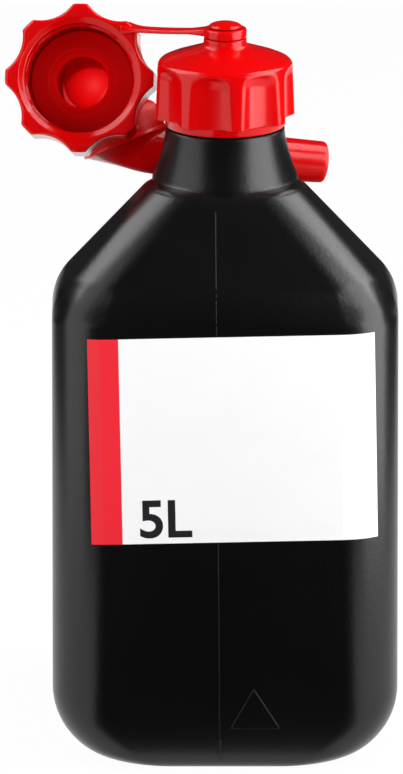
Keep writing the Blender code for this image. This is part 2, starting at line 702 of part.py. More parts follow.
def spout_elbow():
    """The flange in the nut, the pipe behind it, the round corner and the spigot in the head."""
    flange_low = -NUT_LENGTH + NUT_BACK_WALL + GAP
    flange_high = flange_low + ELBOW_FLANGE_THICKNESS
    far = -NUT_LENGTH - ELBOW_RUN
    wall = ELBOW_RADIUS - ELBOW_BORE_RADIUS
    spigot_foot = HEAD_HEIGHT - SPIGOT_DEPTH
    profile = [(0, flange_high), (ELBOW_FLANGE_RADIUS, flange_high), (ELBOW_FLANGE_RADIUS, flange_low),
               (ELBOW_RADIUS, flange_low), (ELBOW_RADIUS, far), (0, far)]
    elbow = turned("spout_elbow", profile, group=PARTS)
    elbow.matrix_world = nut_place()
    combine(elbow, ball("elbow_corner", ELBOW_BALL_RADIUS, ELBOW_CORNER), "UNION")
    middle = (HEAD_HEIGHT + spigot_foot) / 2
    bed = ELBOW_RADIUS - GROOVE_DEPTH
    spigot = [(0, HEAD_HEIGHT + ELBOW_RISE), (ELBOW_RADIUS, HEAD_HEIGHT + ELBOW_RISE),
              (ELBOW_RADIUS, middle + GROOVE_WIDTH / 2), (bed, middle + GROOVE_WIDTH / 2),
              (bed, middle - GROOVE_WIDTH / 2), (ELBOW_RADIUS, middle - GROOVE_WIDTH / 2),
              (ELBOW_RADIUS, spigot_foot), (0, spigot_foot)]
    leg = turned("elbow_spigot", spigot)
    leg.matrix_world = head_place()
    combine(elbow, leg, "UNION")
    bore = [(0, flange_high + GAP), (ELBOW_THROAT_RADIUS, flange_high + GAP),
            (ELBOW_THROAT_RADIUS, flange_high), (ELBOW_BORE_RADIUS, flange_high - ELBOW_THROAT_DEPTH),
            (ELBOW_BORE_RADIUS, far + wall), (0, far + wall)]
    throat = turned("elbow_throat", bore)
    throat.matrix_world = nut_place()
    combine(elbow, throat, "DIFFERENCE")
    combine(elbow, ball("elbow_corner_hollow", ELBOW_BALL_RADIUS - wall, ELBOW_CORNER), "DIFFERENCE")
    down = rod("elbow_bore", ELBOW_BORE_RADIUS, spigot_foot - OVERRUN, HEAD_HEIGHT + ELBOW_RISE - wall)
    down.matrix_world = head_place()
    combine(elbow, down, "DIFFERENCE")
    finish(elbow, plastic("elbow_plastic", (0.60, 0.004, 0.008), 0.22))
    return elbow


def elbow_o_ring():
    """The seal in the spigot's groove."""
    middle = HEAD_HEIGHT - SPIGOT_DEPTH / 2
    inner = ELBOW_RADIUS - GROOVE_DEPTH + GAP
    outer = ELBOW_RADIUS + GAP / 3
    half = O_RING_SECTION_RADIUS
    profile = [(outer, middle + half / 2), (outer, middle - half / 2), ((inner + outer) / 2, middle - half),
               (inner, middle - half / 2), (inner, middle + half / 2), ((inner + outer) / 2, middle + half)]
    seal = turned("elbow_o_ring", profile, closed=True, group=PARTS)
    seal.matrix_world = head_place()
    finish(seal, plastic("o_ring_rubber", (0.02, 0.02, 0.02), 0.6))
    return seal


def tube_route():
    """The tube's middle line and radii from the head to the tip, through the handle's opening."""
    start = HEAD_RIM - HEAD_AXIS * TUBE_START_RISE
    points = []
    for reach, back, drop, size in zip(TUBE_REACH_SHARES, TUBE_BACK_SHARES, TUBE_DROP_SHARES,
                                       TUBE_SIZE_SHARES):
        radius = TUBE_TIP_RADIUS + (TUBE_ROOT_RADIUS - TUBE_TIP_RADIUS) * size
        points.append(Vector((start.x + TUBE_REACH * reach, start.y + TUBE_SET_BACK * back,
                              start.z - TUBE_DROP * drop, radius)))
    return smooth_route(points, 4)


def heel_profile(inset):
    """The cone under the head's rim, moved in by inset, from its wide top down to the axis."""
    narrow = HEEL_RADIUS * HEEL_NARROW_SHARE
    return [(HEEL_RADIUS - inset, 0), (narrow - inset, inset - HEEL_DEPTH), (0, inset - HEEL_BOTTOM_DEPTH)]


def spout_tube():
    """The head that turns on the elbow, and the tapered pouring tube that leaves its underside."""
    steps = 5
    profile = [(0, HEAD_HEIGHT)]
    for step in range(steps + 1):
        angle = step * math.pi / 2 / steps
        profile.append((HEAD_RADIUS - HEAD_ROUNDING * (1 - math.sin(angle)),
                        HEAD_HEIGHT - HEAD_ROUNDING * (1 - math.cos(angle))))
    profile += [(HEAD_RADIUS, HEAD_RIM_THICKNESS), (HEAD_RIM_RADIUS, HEAD_RIM_THICKNESS),
                (HEAD_RIM_RADIUS, 0)]
    head = turned("spout_tube", profile + heel_profile(0), group=PARTS)
    head.matrix_world = head_place()
    route = tube_route()
    middle = [point.to_3d() for point in route]
    radii = [point.w for point in route]
    combine(head, swept("tube_blank", middle, radii, resolution=8), "UNION")

    floor = HEAD_HEIGHT - SPIGOT_DEPTH - GAP
    socket = [(0, HEAD_HEIGHT + OVERRUN), (ELBOW_RADIUS + GAP, HEAD_HEIGHT + OVERRUN),
              (ELBOW_RADIUS + GAP, floor), (ELBOW_BORE_RADIUS, floor)]
    hollow = turned("head_hollow", socket + heel_profile(TUBE_WALL)[1:])
    hollow.matrix_world = head_place()
    combine(head, hollow, "DIFFERENCE")
    beyond = middle + [middle[-1] + (middle[-1] - middle[-2])]
    bores = [radius - TUBE_WALL for radius in radii + radii[-1:]]
    combine(head, swept("tube_bore", beyond, bores, resolution=6), "DIFFERENCE")
    finish(head, plastic("spout_plastic", (0.62, 0.004, 0.008), 0.18))
    return head


def main():
    clear_scene()
    can_body()
    label()
    main_cap()
    cap_seal()
    strap_rivet()
    spout_nut()
    spout_elbow()
    elbow_o_ring()
    spout_tube()
    bpy.context.view_layer.update()


main()
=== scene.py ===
"""The dressed fuel can: fine shapes, finishes, light and camera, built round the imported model."""
import json
import math

import bmesh
import bpy
from bpy.props import FloatProperty, FloatVectorProperty, IntProperty, PointerProperty
from mathutils import Matrix, Vector
from mathutils.bvhtree import BVHTree


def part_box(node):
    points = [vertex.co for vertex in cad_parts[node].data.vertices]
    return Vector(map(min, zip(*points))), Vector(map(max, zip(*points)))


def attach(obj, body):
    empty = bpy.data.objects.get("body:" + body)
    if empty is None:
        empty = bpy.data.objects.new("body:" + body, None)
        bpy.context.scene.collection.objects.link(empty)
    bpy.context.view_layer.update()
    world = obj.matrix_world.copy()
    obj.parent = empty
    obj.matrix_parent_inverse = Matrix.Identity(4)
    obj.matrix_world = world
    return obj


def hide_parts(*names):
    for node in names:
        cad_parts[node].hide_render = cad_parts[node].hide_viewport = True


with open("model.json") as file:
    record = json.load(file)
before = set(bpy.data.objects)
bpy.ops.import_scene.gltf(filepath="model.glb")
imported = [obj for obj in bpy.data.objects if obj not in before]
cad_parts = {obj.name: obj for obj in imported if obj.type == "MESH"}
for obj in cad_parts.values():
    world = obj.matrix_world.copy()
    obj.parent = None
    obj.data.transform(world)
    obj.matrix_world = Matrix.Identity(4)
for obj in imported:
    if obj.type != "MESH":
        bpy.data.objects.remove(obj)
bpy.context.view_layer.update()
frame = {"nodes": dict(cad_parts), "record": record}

bl_info = {
    "name": "Dressed fuel can",
    "version": (1, 0, 0),
    "blender": (4, 5, 0),
    "location": "View3D > Sidebar > Fuel can",
    "description": "Builds the fine shapes and finishes of a plastic fuel can round its packed model",
    "category": "Add Mesh",
}

JOINTS = {joint["name"]: joint for joint in frame["record"]["behaviour"]["joints"]}
CAP_AT = Vector(JOINTS["cap_turn"]["pos_m"])
NUT_AT = Vector(JOINTS["elbow_turn"]["pos_m"])
NUT_OUT = Vector(JOINTS["elbow_turn"]["axis"]).normalized()
HEAD_AT = Vector(JOINTS["spout_turn"]["pos_m"])
HEAD_DOWN = Vector(JOINTS["spout_turn"]["axis"]).normalized()


# Shapes

def lerp(low, high, share):
    """The value at this share of the way from one value to another."""
    return low + (high - low) * share


def soft_least(first, second, blend):
    """The smaller of two values, rounded off where they cross."""
    near = max(blend - abs(first - second), 0) / blend
    return min(first, second) - near * near * blend / 4


def skin(name, rows, closed=False):
    """A closed skin through rings of points. Each end is closed with a face, or the ends are joined."""
    shape = bmesh.new()
    rings = [[shape.verts.new(point) for point in row] for row in rows]
    count = len(rings[0])
    pairs = list(zip(rings, rings[1:]))
    if closed:
        pairs.append((rings[-1], rings[0]))
    for lower, upper in pairs:
        for at in range(count):
            after = (at + 1) % count
            shape.faces.new((lower[at], lower[after], upper[after], upper[at]))
    if not closed:
        shape.faces.new(list(reversed(rings[0])))
        shape.faces.new(rings[-1])
    bmesh.ops.recalc_face_normals(shape, faces=shape.faces)
    mesh = bpy.data.meshes.new(name)
    shape.to_mesh(mesh)
    shape.free()
    return mesh


def turned_rows(profile, sides):
    """Rings of points about Z from a profile of (radius, height), the radius a number or a function."""
    rows = []
    for radius, height in profile:
        row = []
        for side in range(sides):
            angle = math.tau * side / sides
            reach = radius(angle, height) if callable(radius) else radius
            row.append((reach * math.cos(angle), reach * math.sin(angle), height))
        rows.append(row)
    return rows


def oval(middle, aside, up, sides, power=1.0):
    """A ring of points round a middle with two half axes. A power under 1 squares it off."""
    row = []
    for side in range(sides):
        angle = math.tau * side / sides
        across = math.copysign(abs(math.cos(angle)) ** power, math.cos(angle))
        rise = math.copysign(abs(math.sin(angle)) ** power, math.sin(angle))
        row.append(middle + aside * across + up * rise)
    return row


def rounded_rectangle(across, deep, corner, steps, along, height):
    """A level ring of points: a rectangle of two half sizes with round corners, moved along Y."""
    row = []
    for quarter, (hand, way) in enumerate(((1, 1), (-1, 1), (-1, -1), (1, -1))):
        for step in range(steps + 1):
            angle = (quarter + step / steps) * math.pi / 2
            row.append((hand * (across - corner) + corner * math.cos(angle),
                        along + way * (deep - corner) + corner * math.sin(angle), height))
    return row


def helper(name, mesh, place=None):
    """A new object in the scene, moved to a place if one is given."""
    item = bpy.data.objects.new(name, mesh)
    bpy.context.scene.collection.objects.link(item)
    if place is not None:
        item.matrix_world = place
    return item


def add_piece(name, mesh, material, body, place=None, sharp=35):
    """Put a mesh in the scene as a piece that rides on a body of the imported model."""
    item = helper(name, mesh, place)
    mesh.materials.clear()
    mesh.materials.append(material)
    mesh.shade_smooth()
    mesh.set_sharp_from_angle(angle=math.radians(sharp))
    bpy.context.view_layer.update()
    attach(item, body)
    return item


def carried(node, material):
    """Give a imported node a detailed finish, leaving its shape alone."""
    item = frame["nodes"][node]
    for number in range(max(len(item.material_slots), 1)):
        if not item.material_slots:
            item.data.materials.append(material)
        item.material_slots[number].material = material


def nut_place():
    """Z out of the nut's mouth, X level and to the right."""
    across = Vector((0, 0, 1)).cross(NUT_OUT).normalized()
    return Matrix.Translation(NUT_AT) @ Matrix((across, NUT_OUT.cross(across), NUT_OUT)).transposed().to_4x4()


def head_place():
    """Z up the axis of the spout's head, from the middle of its rim."""
    turn = HEAD_DOWN.rotation_difference(Vector((0, 0, -1))).inverted()
    return Matrix.Translation(HEAD_AT) @ turn.to_matrix().to_4x4()


def fluted(lobe, valley, flute, count, turned_by, edge, arch=None):
    """The outline radius of a cap with finger grooves, as a function of angle and height."""
    middle = valley + flute

    def radius(angle, height):
        at = (angle - turned_by) / math.tau * count % 1 - 0.5
        aside = at * math.tau / count
        reach = lobe(height)
        size = flute
        if arch is not None and height > arch - 0.005:
            share = min((height - arch + 0.005) / 0.005, 1)
            size = lerp(flute, middle - reach, 1 - math.sqrt(1 - share ** 2))
        off = middle * math.sin(aside)
        if abs(off) >= size:
            return reach
        groove = middle * math.cos(aside) - math.sqrt(size ** 2 - off ** 2)
        return soft_least(reach, groove, edge)
    return radius


# Finishes

# How far red, green and blue light reach into the red plastic.
RED_REACH = (0.0040, 0.0006, 0.0005)
WHITE = (1, 1, 1, 1)


def new_group(name, inputs, outputs):
    """A node group of values, with its nodes, links, input node and output node."""
    group = bpy.data.node_groups.new(name, "ShaderNodeTree")
    for given, value in inputs.items():
        made = group.interface.new_socket(name=given, in_out="INPUT", socket_type="NodeSocketFloat")
        made.default_value = value
    for result in outputs:
        group.interface.new_socket(name=result, in_out="OUTPUT", socket_type="NodeSocketFloat")
    nodes = group.nodes
    return group, nodes, group.links, nodes.new("NodeGroupInput"), nodes.new("NodeGroupOutput")


def placed(nodes, kind, **values):
    """A new node with these input values."""
    node = nodes.new("ShaderNode" + kind)
    for name, value in values.items():
        node.inputs[name.replace("_", " ")].default_value = value
    return node


def worked_out(nodes, links, operation, first, second):
    """The result of a sum on two values, each a number or a socket."""
    node = nodes.new("ShaderNodeMath")
    node.operation = operation
    for socket, value in zip(node.inputs, (first, second)):
        if isinstance(value, bpy.types.NodeSocket):
            links.new(value, socket)
        else:
            socket.default_value = value
    return node


def moulded_texture():
    """Shared group: the faint waviness, fine grain and cloudy patches of moulded plastic."""
    group, nodes, links, given, result = new_group(
        "moulded_texture", {"Grain Scale": 1500.0, "Wave Scale": 160.0, "Wave Share": 0.5},
        ("Height", "Patches", "Specks"))
    where = placed(nodes, "TexCoord")
    grain = placed(nodes, "TexNoise", Detail=3)
    wave = placed(nodes, "TexNoise", Detail=2)
    patches = placed(nodes, "TexNoise", Scale=28, Detail=5, Roughness=0.6)
    specks = placed(nodes, "TexVoronoi", Scale=420)
    small = placed(nodes, "MapRange", From_Min=0.10, From_Max=0.02)
    mixed = placed(nodes, "Mix")
    for texture in (grain, wave, patches, specks):
        links.new(where.outputs["Object"], texture.inputs["Vector"])
    links.new(given.outputs["Grain Scale"], grain.inputs["Scale"])
    links.new(given.outputs["Wave Scale"], wave.inputs["Scale"])
    links.new(given.outputs["Wave Share"], mixed.inputs["Factor"])
    links.new(grain.outputs["Fac"], mixed.inputs["A"])
    links.new(wave.outputs["Fac"], mixed.inputs["B"])
    links.new(specks.outputs["Distance"], small.inputs["Value"])
    links.new(mixed.outputs["Result"], result.inputs["Height"])
    links.new(patches.outputs["Fac"], result.inputs["Patches"])
    links.new(small.outputs["Result"], result.inputs["Specks"])
    return group


def painted_edge_highlights():
    """Shared group: a mask of a piece's convex and concave edges, broken up by noise, where a painted
    highlight goes.
    """
    group, nodes, links, given, result = new_group("painted_edge_highlights", {"Width": 0.0008, "Break Up": 0.4},
                                                   ("Mask",))
    rounded = placed(nodes, "Bevel")
    rounded.samples = 4
    plain = placed(nodes, "NewGeometry")
    match = placed(nodes, "VectorMath")
    match.operation = "DOT_PRODUCT"
    edge = placed(nodes, "MapRange", From_Min=0.995, From_Max=0.86)
    where = placed(nodes, "TexCoord")
    noise = placed(nodes, "TexNoise", Scale=240)
    links.new(given.outputs["Width"], rounded.inputs["Radius"])
    links.new(rounded.outputs["Normal"], match.inputs[0])
    links.new(plain.outputs["Normal"], match.inputs[1])
    links.new(match.outputs["Value"], edge.inputs["Value"])
    links.new(where.outputs["Object"], noise.inputs["Vector"])
    lift = worked_out(nodes, links, "MULTIPLY", noise.outputs["Fac"], given.outputs["Break Up"])
    less = worked_out(nodes, links, "SUBTRACT", edge.outputs["Result"], lift.outputs["Value"])
    less.use_clamp = True
    links.new(less.outputs["Value"], result.inputs["Mask"])
    return group


def start_material(name):
    """A new material, with its nodes, links and main shader."""
    material = bpy.data.materials.new(name)
    material.use_nodes = True
    nodes = material.node_tree.nodes
    return material, nodes, material.node_tree.links, nodes["Principled BSDF"]


def placed_group(nodes, build, **values):
    """A shared group, built at its first use, with these input values."""
    node = nodes.new("ShaderNodeGroup")
    node.node_tree = bpy.data.node_groups.get(build.__name__) or build()
    for name, value in values.items():
        node.inputs[name.replace("_", " ")].default_value = value
    return node


def ranged(nodes, links, source, low, high):
    """A value from 0 to 1 spread over a range."""
    spread = placed(nodes, "MapRange", To_Min=low, To_Max=high)
    links.new(source, spread.inputs["Value"])
    return spread.outputs["Result"]


def shaded(colour, share):
    """A colour made darker, or lighter with a share over 1."""
    return [part * share for part in colour]


def blended(nodes, links, factor, first, second):
    """One colour blended into another by a mask."""
    mix = nodes.new("ShaderNodeMix")
    mix.data_type = "RGBA"
    for socket, colour in ((mix.inputs[6], first), (mix.inputs[7], second)):
        if isinstance(colour, bpy.types.NodeSocket):
            links.new(colour, socket)
        else:
            socket.default_value = (*colour, 1)
    links.new(factor, mix.inputs[0])
    return mix.outputs[2]


def bumped(nodes, links, height, depth, normal=None):
    """Normals of a surface with a height, over other normals if given."""
    bump = placed(nodes, "Bump", Strength=1.0, Distance=depth)
    links.new(height, bump.inputs["Height"])
    if normal is not None:
        links.new(normal, bump.inputs["Normal"])
    return bump.outputs["Normal"]


def softened(nodes, radius):
    """Normals rounded over a piece's crisp edges."""
    node = placed(nodes, "Bevel", Radius=radius)
    node.samples = 6
    return node.outputs["Normal"]


def moulded_plastic(name, colour, edge_colour, roughness, grain, wave_share, edge, gloss=0.5, through=0.0,
                    wave=160.0):
    """Moulded plastic with fine grain, cloudy gloss and softened edges, painted paler as a highlight."""
    material, nodes, links, shader = start_material(name)
    texture = placed_group(nodes, moulded_texture, Wave_Share=wave_share, Wave_Scale=wave)
    highlighted_edges = placed_group(nodes, painted_edge_highlights, Width=edge)
    cloudy = blended(nodes, links, ranged(nodes, links, texture.outputs["Patches"], 0.0, 0.55),
                     colour, shaded(colour, 0.82))
    # The edges are blended into a paler colour: a painted highlight.
    links.new(blended(nodes, links, highlighted_edges.outputs["Mask"], cloudy, edge_colour), shader.inputs["Base Color"])
    links.new(ranged(nodes, links, texture.outputs["Patches"], roughness - 0.05, roughness + 0.06),
              shader.inputs["Roughness"])
    links.new(bumped(nodes, links, texture.outputs["Height"], grain, normal=softened(nodes, edge)),
              shader.inputs["Normal"])
    shader.inputs["Specular IOR Level"].default_value = gloss
    if through:
        shader.inputs["Subsurface Weight"].default_value = through
        shader.inputs["Subsurface Radius"].default_value = RED_REACH
        shader.inputs["Subsurface Scale"].default_value = 1.0
    return material


def label_film(sizes):
    """White film with one plain band down its left edge and a faint fibre texture."""
    material, nodes, links, shader = start_material("label_film_printed")
    where = placed(nodes, "TexCoord")
    aside = placed(nodes, "VectorMath")
    aside.operation = "DOT_PRODUCT"
    aside.inputs[1].default_value = (math.cos(sizes.tilt), 0, math.sin(sizes.tilt))
    links.new(where.outputs["Object"], aside.inputs[0])
    blur = 0.00008
    band = placed(nodes, "MapRange", From_Min=sizes.band_edge + blur, From_Max=sizes.band_edge - blur)
    links.new(aside.outputs["Value"], band.inputs["Value"])
    texture = placed_group(nodes, moulded_texture, Grain_Scale=2600.0, Wave_Scale=90.0, Wave_Share=0.75)
    white = blended(nodes, links, texture.outputs["Patches"], sizes.film, shaded(sizes.film, 0.94))
    links.new(blended(nodes, links, band.outputs["Result"], white, sizes.band), shader.inputs["Base Color"])
    links.new(ranged(nodes, links, texture.outputs["Patches"], 0.38, 0.52), shader.inputs["Roughness"])
    links.new(bumped(nodes, links, texture.outputs["Height"], 0.00006), shader.inputs["Normal"])
    return material


def sealing_rubber(name):
    """Matt black rubber with fine pale specks."""
    colour = (0.02, 0.02, 0.022)
    material, nodes, links, shader = start_material(name)
    texture = placed_group(nodes, moulded_texture, Grain_Scale=3000.0, Wave_Scale=500.0)
    links.new(blended(nodes, links, texture.outputs["Specks"], colour, shaded(colour, 2.2)),
              shader.inputs["Base Color"])
    links.new(ranged(nodes, links, texture.outputs["Patches"], 0.55, 0.8), shader.inputs["Roughness"])
    links.new(bumped(nodes, links, texture.outputs["Height"], 0.00008), shader.inputs["Normal"])
    return material


# Settings

LENGTH = {"subtype": "DISTANCE", "unit": "LENGTH"}
ANGLE = {"subtype": "ANGLE", "unit": "ROTATION"}
COLOUR = {"subtype": "COLOR", "min": 0, "max": 1}


class CanSettings(bpy.types.PropertyGroup):
    """The can's shape, its finish and its moulded lines."""
    width: FloatProperty(name="Width", description="Across the side walls", default=0.145, **LENGTH)
    depth: FloatProperty(name="Depth", description="From the front wall to the back wall",
                         default=0.184, **LENGTH)
    shoulder: FloatProperty(name="Shoulder height", description="Where the side walls end",
                            default=0.1994, **LENGTH)
    root: FloatProperty(name="Neck root height", description="Height of the neck's foot",
                        default=0.2430, **LENGTH)
    plateau: FloatProperty(name="Top half width", description="Half width of the top at the neck",
                           default=0.0311, **LENGTH)
    fall: FloatProperty(name="Top fall", description="Fall of the top toward the back",
                        default=math.radians(18), **ANGLE)
    wall: FloatProperty(name="Wall", description="Thickness of the can's wall", default=0.0017, **LENGTH)
    colour: FloatVectorProperty(name="Can colour", description="Base colour of the can",
                                default=(0.0018, 0.0015, 0.0018), **COLOUR)
    roughness: FloatProperty(name="Roughness", description="How satin the can's skin is", default=0.29,
                             min=0, max=1)
    grain: FloatProperty(name="Grain depth", description="Depth of the skin's waviness",
                         default=0.00008, **LENGTH)
    blend: FloatProperty(name="Soft joins", description="Radius over which crisp joins look rounded",
                         default=0.0022, **LENGTH)
    line_width: FloatProperty(name="Seam width", description="Width of the mould seam",
                              default=0.0004, **LENGTH)
    line_rise: FloatProperty(name="Seam rise", description="How far the seam stands proud",
                             default=0.00003, **LENGTH)


class LabelSettings(bpy.types.PropertyGroup):
    """The label's film, band and volume mark."""
    film: FloatVectorProperty(name="Film colour", description="Colour of the bare film",
                              default=(0.90, 0.90, 0.905), **COLOUR)
    band: FloatVectorProperty(name="Band colour", description="Colour of the plain side band",
                              default=(0.80, 0.016, 0.030), **COLOUR)
    ink: FloatVectorProperty(name="Ink colour", description="Colour of the volume mark",
                             default=(0.010, 0.009, 0.011), **COLOUR)
    band_edge: FloatProperty(name="Band edge", description="Where the side band ends, across the can",
                             default=-0.0408, **LENGTH)
    tilt: FloatProperty(name="Tilt", description="Turn of the label on the wall",
                        default=math.radians(1.2), **ANGLE)
    mark_height: FloatProperty(name="Mark height", description="Height of the volume mark's figures",
                               default=0.0163, **LENGTH)


class CapSettings(bpy.types.PropertyGroup):
    """The screw cap's outline and finish."""
    colour: FloatVectorProperty(name="Red", description="Base colour of the red plastic",
                                default=(0.60, 0.0006, 0.0012), **COLOUR)
    # A paler red for the thin edges: a painted highlight.
    edge_colour: FloatVectorProperty(name="Edge red", description="Colour of the thin edges",
                                     default=(0.72, 0.008, 0.009), **COLOUR)
    roughness: FloatProperty(name="Roughness", description="Gloss of the red plastic", default=0.16,
                             min=0, max=1)
    lobe: FloatProperty(name="Lobe radius", description="Radius over the lobes", default=0.0294, **LENGTH)
    valley: FloatProperty(name="Valley radius", description="Radius at the grooves' floor",
                          default=0.0256, **LENGTH)
    flute: FloatProperty(name="Groove radius", description="Radius of each finger groove",
                         default=0.0181, **LENGTH)
    flutes: IntProperty(name="Grooves", description="Number of finger grooves", default=8, min=3)
    turned_by: FloatProperty(name="Turn", description="Turn of the cap at rest",
                             default=math.radians(10.25), **ANGLE)


class NutSettings(bpy.types.PropertyGroup):
    """The spout nut with its strap and ring."""
    lobe: FloatProperty(name="Lobe radius", description="Radius over the lobes", default=0.0313, **LENGTH)
    valley: FloatProperty(name="Valley radius", description="Radius at the grooves' floor",
                          default=0.0274, **LENGTH)
    flute: FloatProperty(name="Groove radius", description="Radius of each finger groove",
                         default=0.0169, **LENGTH)
    length: FloatProperty(name="Length", description="From the mouth to the back", default=0.030, **LENGTH)
    bore: FloatProperty(name="Bore radius", description="Radius inside, between the thread's turns",
                        default=0.0232, **LENGTH)
    strap_width: FloatProperty(name="Strap width", description="Width of the strap at its middle",
                               default=0.0070, **LENGTH)
    strap_thickness: FloatProperty(name="Strap thickness", description="Thickness of the strap",
                                   default=0.0019, **LENGTH)


class SpoutSettings(bpy.types.PropertyGroup):
    """The knurled head of the pouring tube."""
    ribs: IntProperty(name="Ribs", description="Number of fine ribs round the head", default=112, min=12)
    rib_rise: FloatProperty(name="Rib rise", description="How far each rib stands proud",
                            default=0.00042, **LENGTH)
    head: FloatProperty(name="Head radius", description="Radius of the head under its ribs",
                        default=0.0180, **LENGTH)
    height: FloatProperty(name="Head height", description="From the rim to the head's top",
                          default=0.0145, **LENGTH)


class StageSettings(bpy.types.PropertyGroup):
    """The camera and the floor."""
    distance: FloatProperty(name="Camera distance", description="From the camera to the can",
                            default=8.0, **LENGTH)
    elevation: FloatProperty(name="Camera elevation", description="Angle above the horizon",
                             default=math.radians(14.5), **ANGLE)
    view_height: FloatProperty(name="View height", description="Height that the picture takes in",
                               default=0.3272, **LENGTH)
    aim: FloatVectorProperty(name="Aim", description="Point in the middle of the picture",
                             subtype="XYZ", unit="LENGTH", default=(-0.0099, 0.0, 0.1424))
    floor: FloatVectorProperty(name="Floor colour", description="Colour of the floor",
                               default=(0.90, 0.90, 0.90), **COLOUR)
    glow: FloatProperty(name="White share", description="Share of plain white in what the camera and "
                        "reflections see of the floor", default=0.965, min=0, max=1)


# Pieces

SIDE, END, BASE, TOP, SHOULDER, LEAN, FALL = range(7)
EDGE_ROUNDINGS = {
    frozenset((END, SIDE)): 0.023,
    frozenset((SIDE, SHOULDER)): 0.0235,
    frozenset((END, LEAN)): 0.030,
    frozenset((LEAN, SHOULDER)): 0.023,
    frozenset((TOP, SHOULDER)): 0.009,
    frozenset((TOP, LEAN)): 0.009,
    frozenset((FALL, SHOULDER)): 0.009,
    frozenset((SHOULDER,)): 0.040,
    frozenset((TOP, FALL)): 0.040,
    frozenset((END, SHOULDER)): 0.020,
    frozenset((END, FALL)): 0.020,
}
ROUNDING_STEPS = 18
FOOT_TOP = 0.060
FOOT_SIDE_ROUNDING, FOOT_END_ROUNDING = 0.031, 0.0068
THREAD_PITCH = 0.005
RIVET_SEAT_DROP = 0.0036
HEAD_ROUNDING = 0.0055


def rounded_can(name, sizes, inset):
    """The can above its foot, with its sloped shoulders and rounded edges, its faces moved in by inset."""
    shape = bmesh.new()
    bmesh.ops.create_cube(shape, size=1)
    bmesh.ops.scale(shape, verts=shape.verts, vec=(sizes.width - 2 * inset, sizes.depth - 2 * inset,
                                                   sizes.root - 2 * inset - FOOT_TOP))
    bmesh.ops.translate(shape, verts=shape.verts, vec=(0, 0, (sizes.root + FOOT_TOP) / 2))
    shape.normal_update()
    kinds = shape.faces.layers.int.new("kind")
    for face in shape.faces:
        kind = SIDE if abs(face.normal.x) > 0.5 else END if abs(face.normal.y) > 0.5 else TOP
        face[kinds] = BASE if face.normal.z < -0.5 else kind
    rise = sizes.root - sizes.shoulder
    run = sizes.width / 2 - sizes.plateau
    front = -sizes.depth / 2
    low = sizes.shoulder - inset * (math.hypot(rise, run) - rise) / run
    planes = [(Vector((0, front + inset, low)), Vector((0, -rise, CAP_AT.y - front - sizes.plateau)), LEAN),
              (Vector((0, CAP_AT.y, sizes.root - inset)), Vector((0, math.tan(sizes.fall), 1)), FALL)]
    for hand in (1, -1):
        corner = Vector((hand * (sizes.width / 2 - inset), CAP_AT.y, low))
        planes.append((corner, Vector((hand * rise, 0, run)), SHOULDER))
        planes.append((corner, Vector((hand * rise, run * math.tan(sizes.fall), run)), SHOULDER))
    for point, normal, kind in planes:
        everything = shape.verts[:] + shape.edges[:] + shape.faces[:]
        cut = bmesh.ops.bisect_plane(shape, geom=everything, dist=0.000001, plane_co=point, plane_no=normal,
                                     clear_outer=True)
        rim = [part for part in cut["geom_cut"] if isinstance(part, bmesh.types.BMEdge)]
        for face in bmesh.ops.holes_fill(shape, edges=rim)["faces"]:
            face[kinds] = kind
    bmesh.ops.remove_doubles(shape, verts=shape.verts, dist=0.00001)
    shape.normal_update()
    weights = shape.edges.layers.float.new("bevel_weight_edge")
    span = max(EDGE_ROUNDINGS.values())
    for edge in shape.edges:
        first, second = edge.link_faces
        kinds_met = frozenset((first[kinds], second[kinds]))
        radius = 0 if BASE in kinds_met else EDGE_ROUNDINGS[kinds_met]
        turn = first.normal.angle(second.normal)
        edge[weights] = max(radius - inset, 0) * math.tan(turn / 2) / span
    mesh = bpy.data.meshes.new(name)
    shape.to_mesh(mesh)
    shape.free()
    item = helper(name, mesh)
    bevel = item.modifiers.new("Round the edges", "BEVEL")
    bevel.limit_method = "WEIGHT"
    bevel.width = span
    bevel.segments = ROUNDING_STEPS
    bevel.use_clamp_overlap = False
    return item


def thread_rise(angle, height, low, turns, ridge, start):
    """How far a screw thread's round ridge stands out at an angle and height."""
    wound = (angle - start) % math.tau / math.tau
    rise = 0.0
    for turn in range(math.ceil(turns)):
        along = turn + wound
        off = (height - low - along * THREAD_PITCH) / ridge
        if along <= turns and abs(off) < 1:
            ends = min(along, turns - along, 0.06) / 0.06
            rise = max(rise, ridge * math.sqrt(1 - off * off) * ends)
    return rise


def can_foot(sizes, inset):
    """The can's foot as one smooth skin with its rounded base, moved in by inset."""
    side, end = FOOT_SIDE_ROUNDING - inset, FOOT_END_ROUNDING - inset
    upright = EDGE_ROUNDINGS[frozenset((END, SIDE))] - inset
    heights = {FOOT_TOP}
    for step in range(20):
        heights |= {radius * (1 - math.cos(math.pi * step / 38)) for radius in (side, end)}
    heights |= {side, end}
    rows = []
    for height in sorted(heights):
        across = sizes.width / 2 - inset - side + math.sqrt(max(side ** 2 - max(side - height, 0) ** 2, 0))
        deep = sizes.depth / 2 - inset - end + math.sqrt(max(end ** 2 - max(end - height, 0) ** 2, 0))
        rows.append(rounded_rectangle(across, deep, upright, ROUNDING_STEPS, 0, height + inset))
    return skin("can_foot", rows)


def built(result, steps):
    """The mesh of one helper after the Boolean steps (target, other, operation); all helpers are removed."""
    helpers = {result}
    for target, other, how in steps:
        cut = target.modifiers.new(other.name, "BOOLEAN")
        cut.operation = how
        cut.object = other
        cut.solver = "EXACT"
        helpers |= {target, other}
    bpy.context.view_layer.update()
    graph = bpy.context.evaluated_depsgraph_get()
    mesh = bpy.data.meshes.new_from_object(result.evaluated_get(graph))
    for item in helpers:
        bpy.data.objects.remove(item)
    return mesh


def land_flare(root, land):
    """The neck's flare as points (radius, height), from its foot on the can up to the cap's land."""
    land_radius, spread, sharpness, steps = 0.0249, 0.0057, 1.6, 24
    return [(land_radius + spread * (1 - step / steps) ** sharpness, lerp(root, land, step / steps))
            for step in range(steps + 1)]


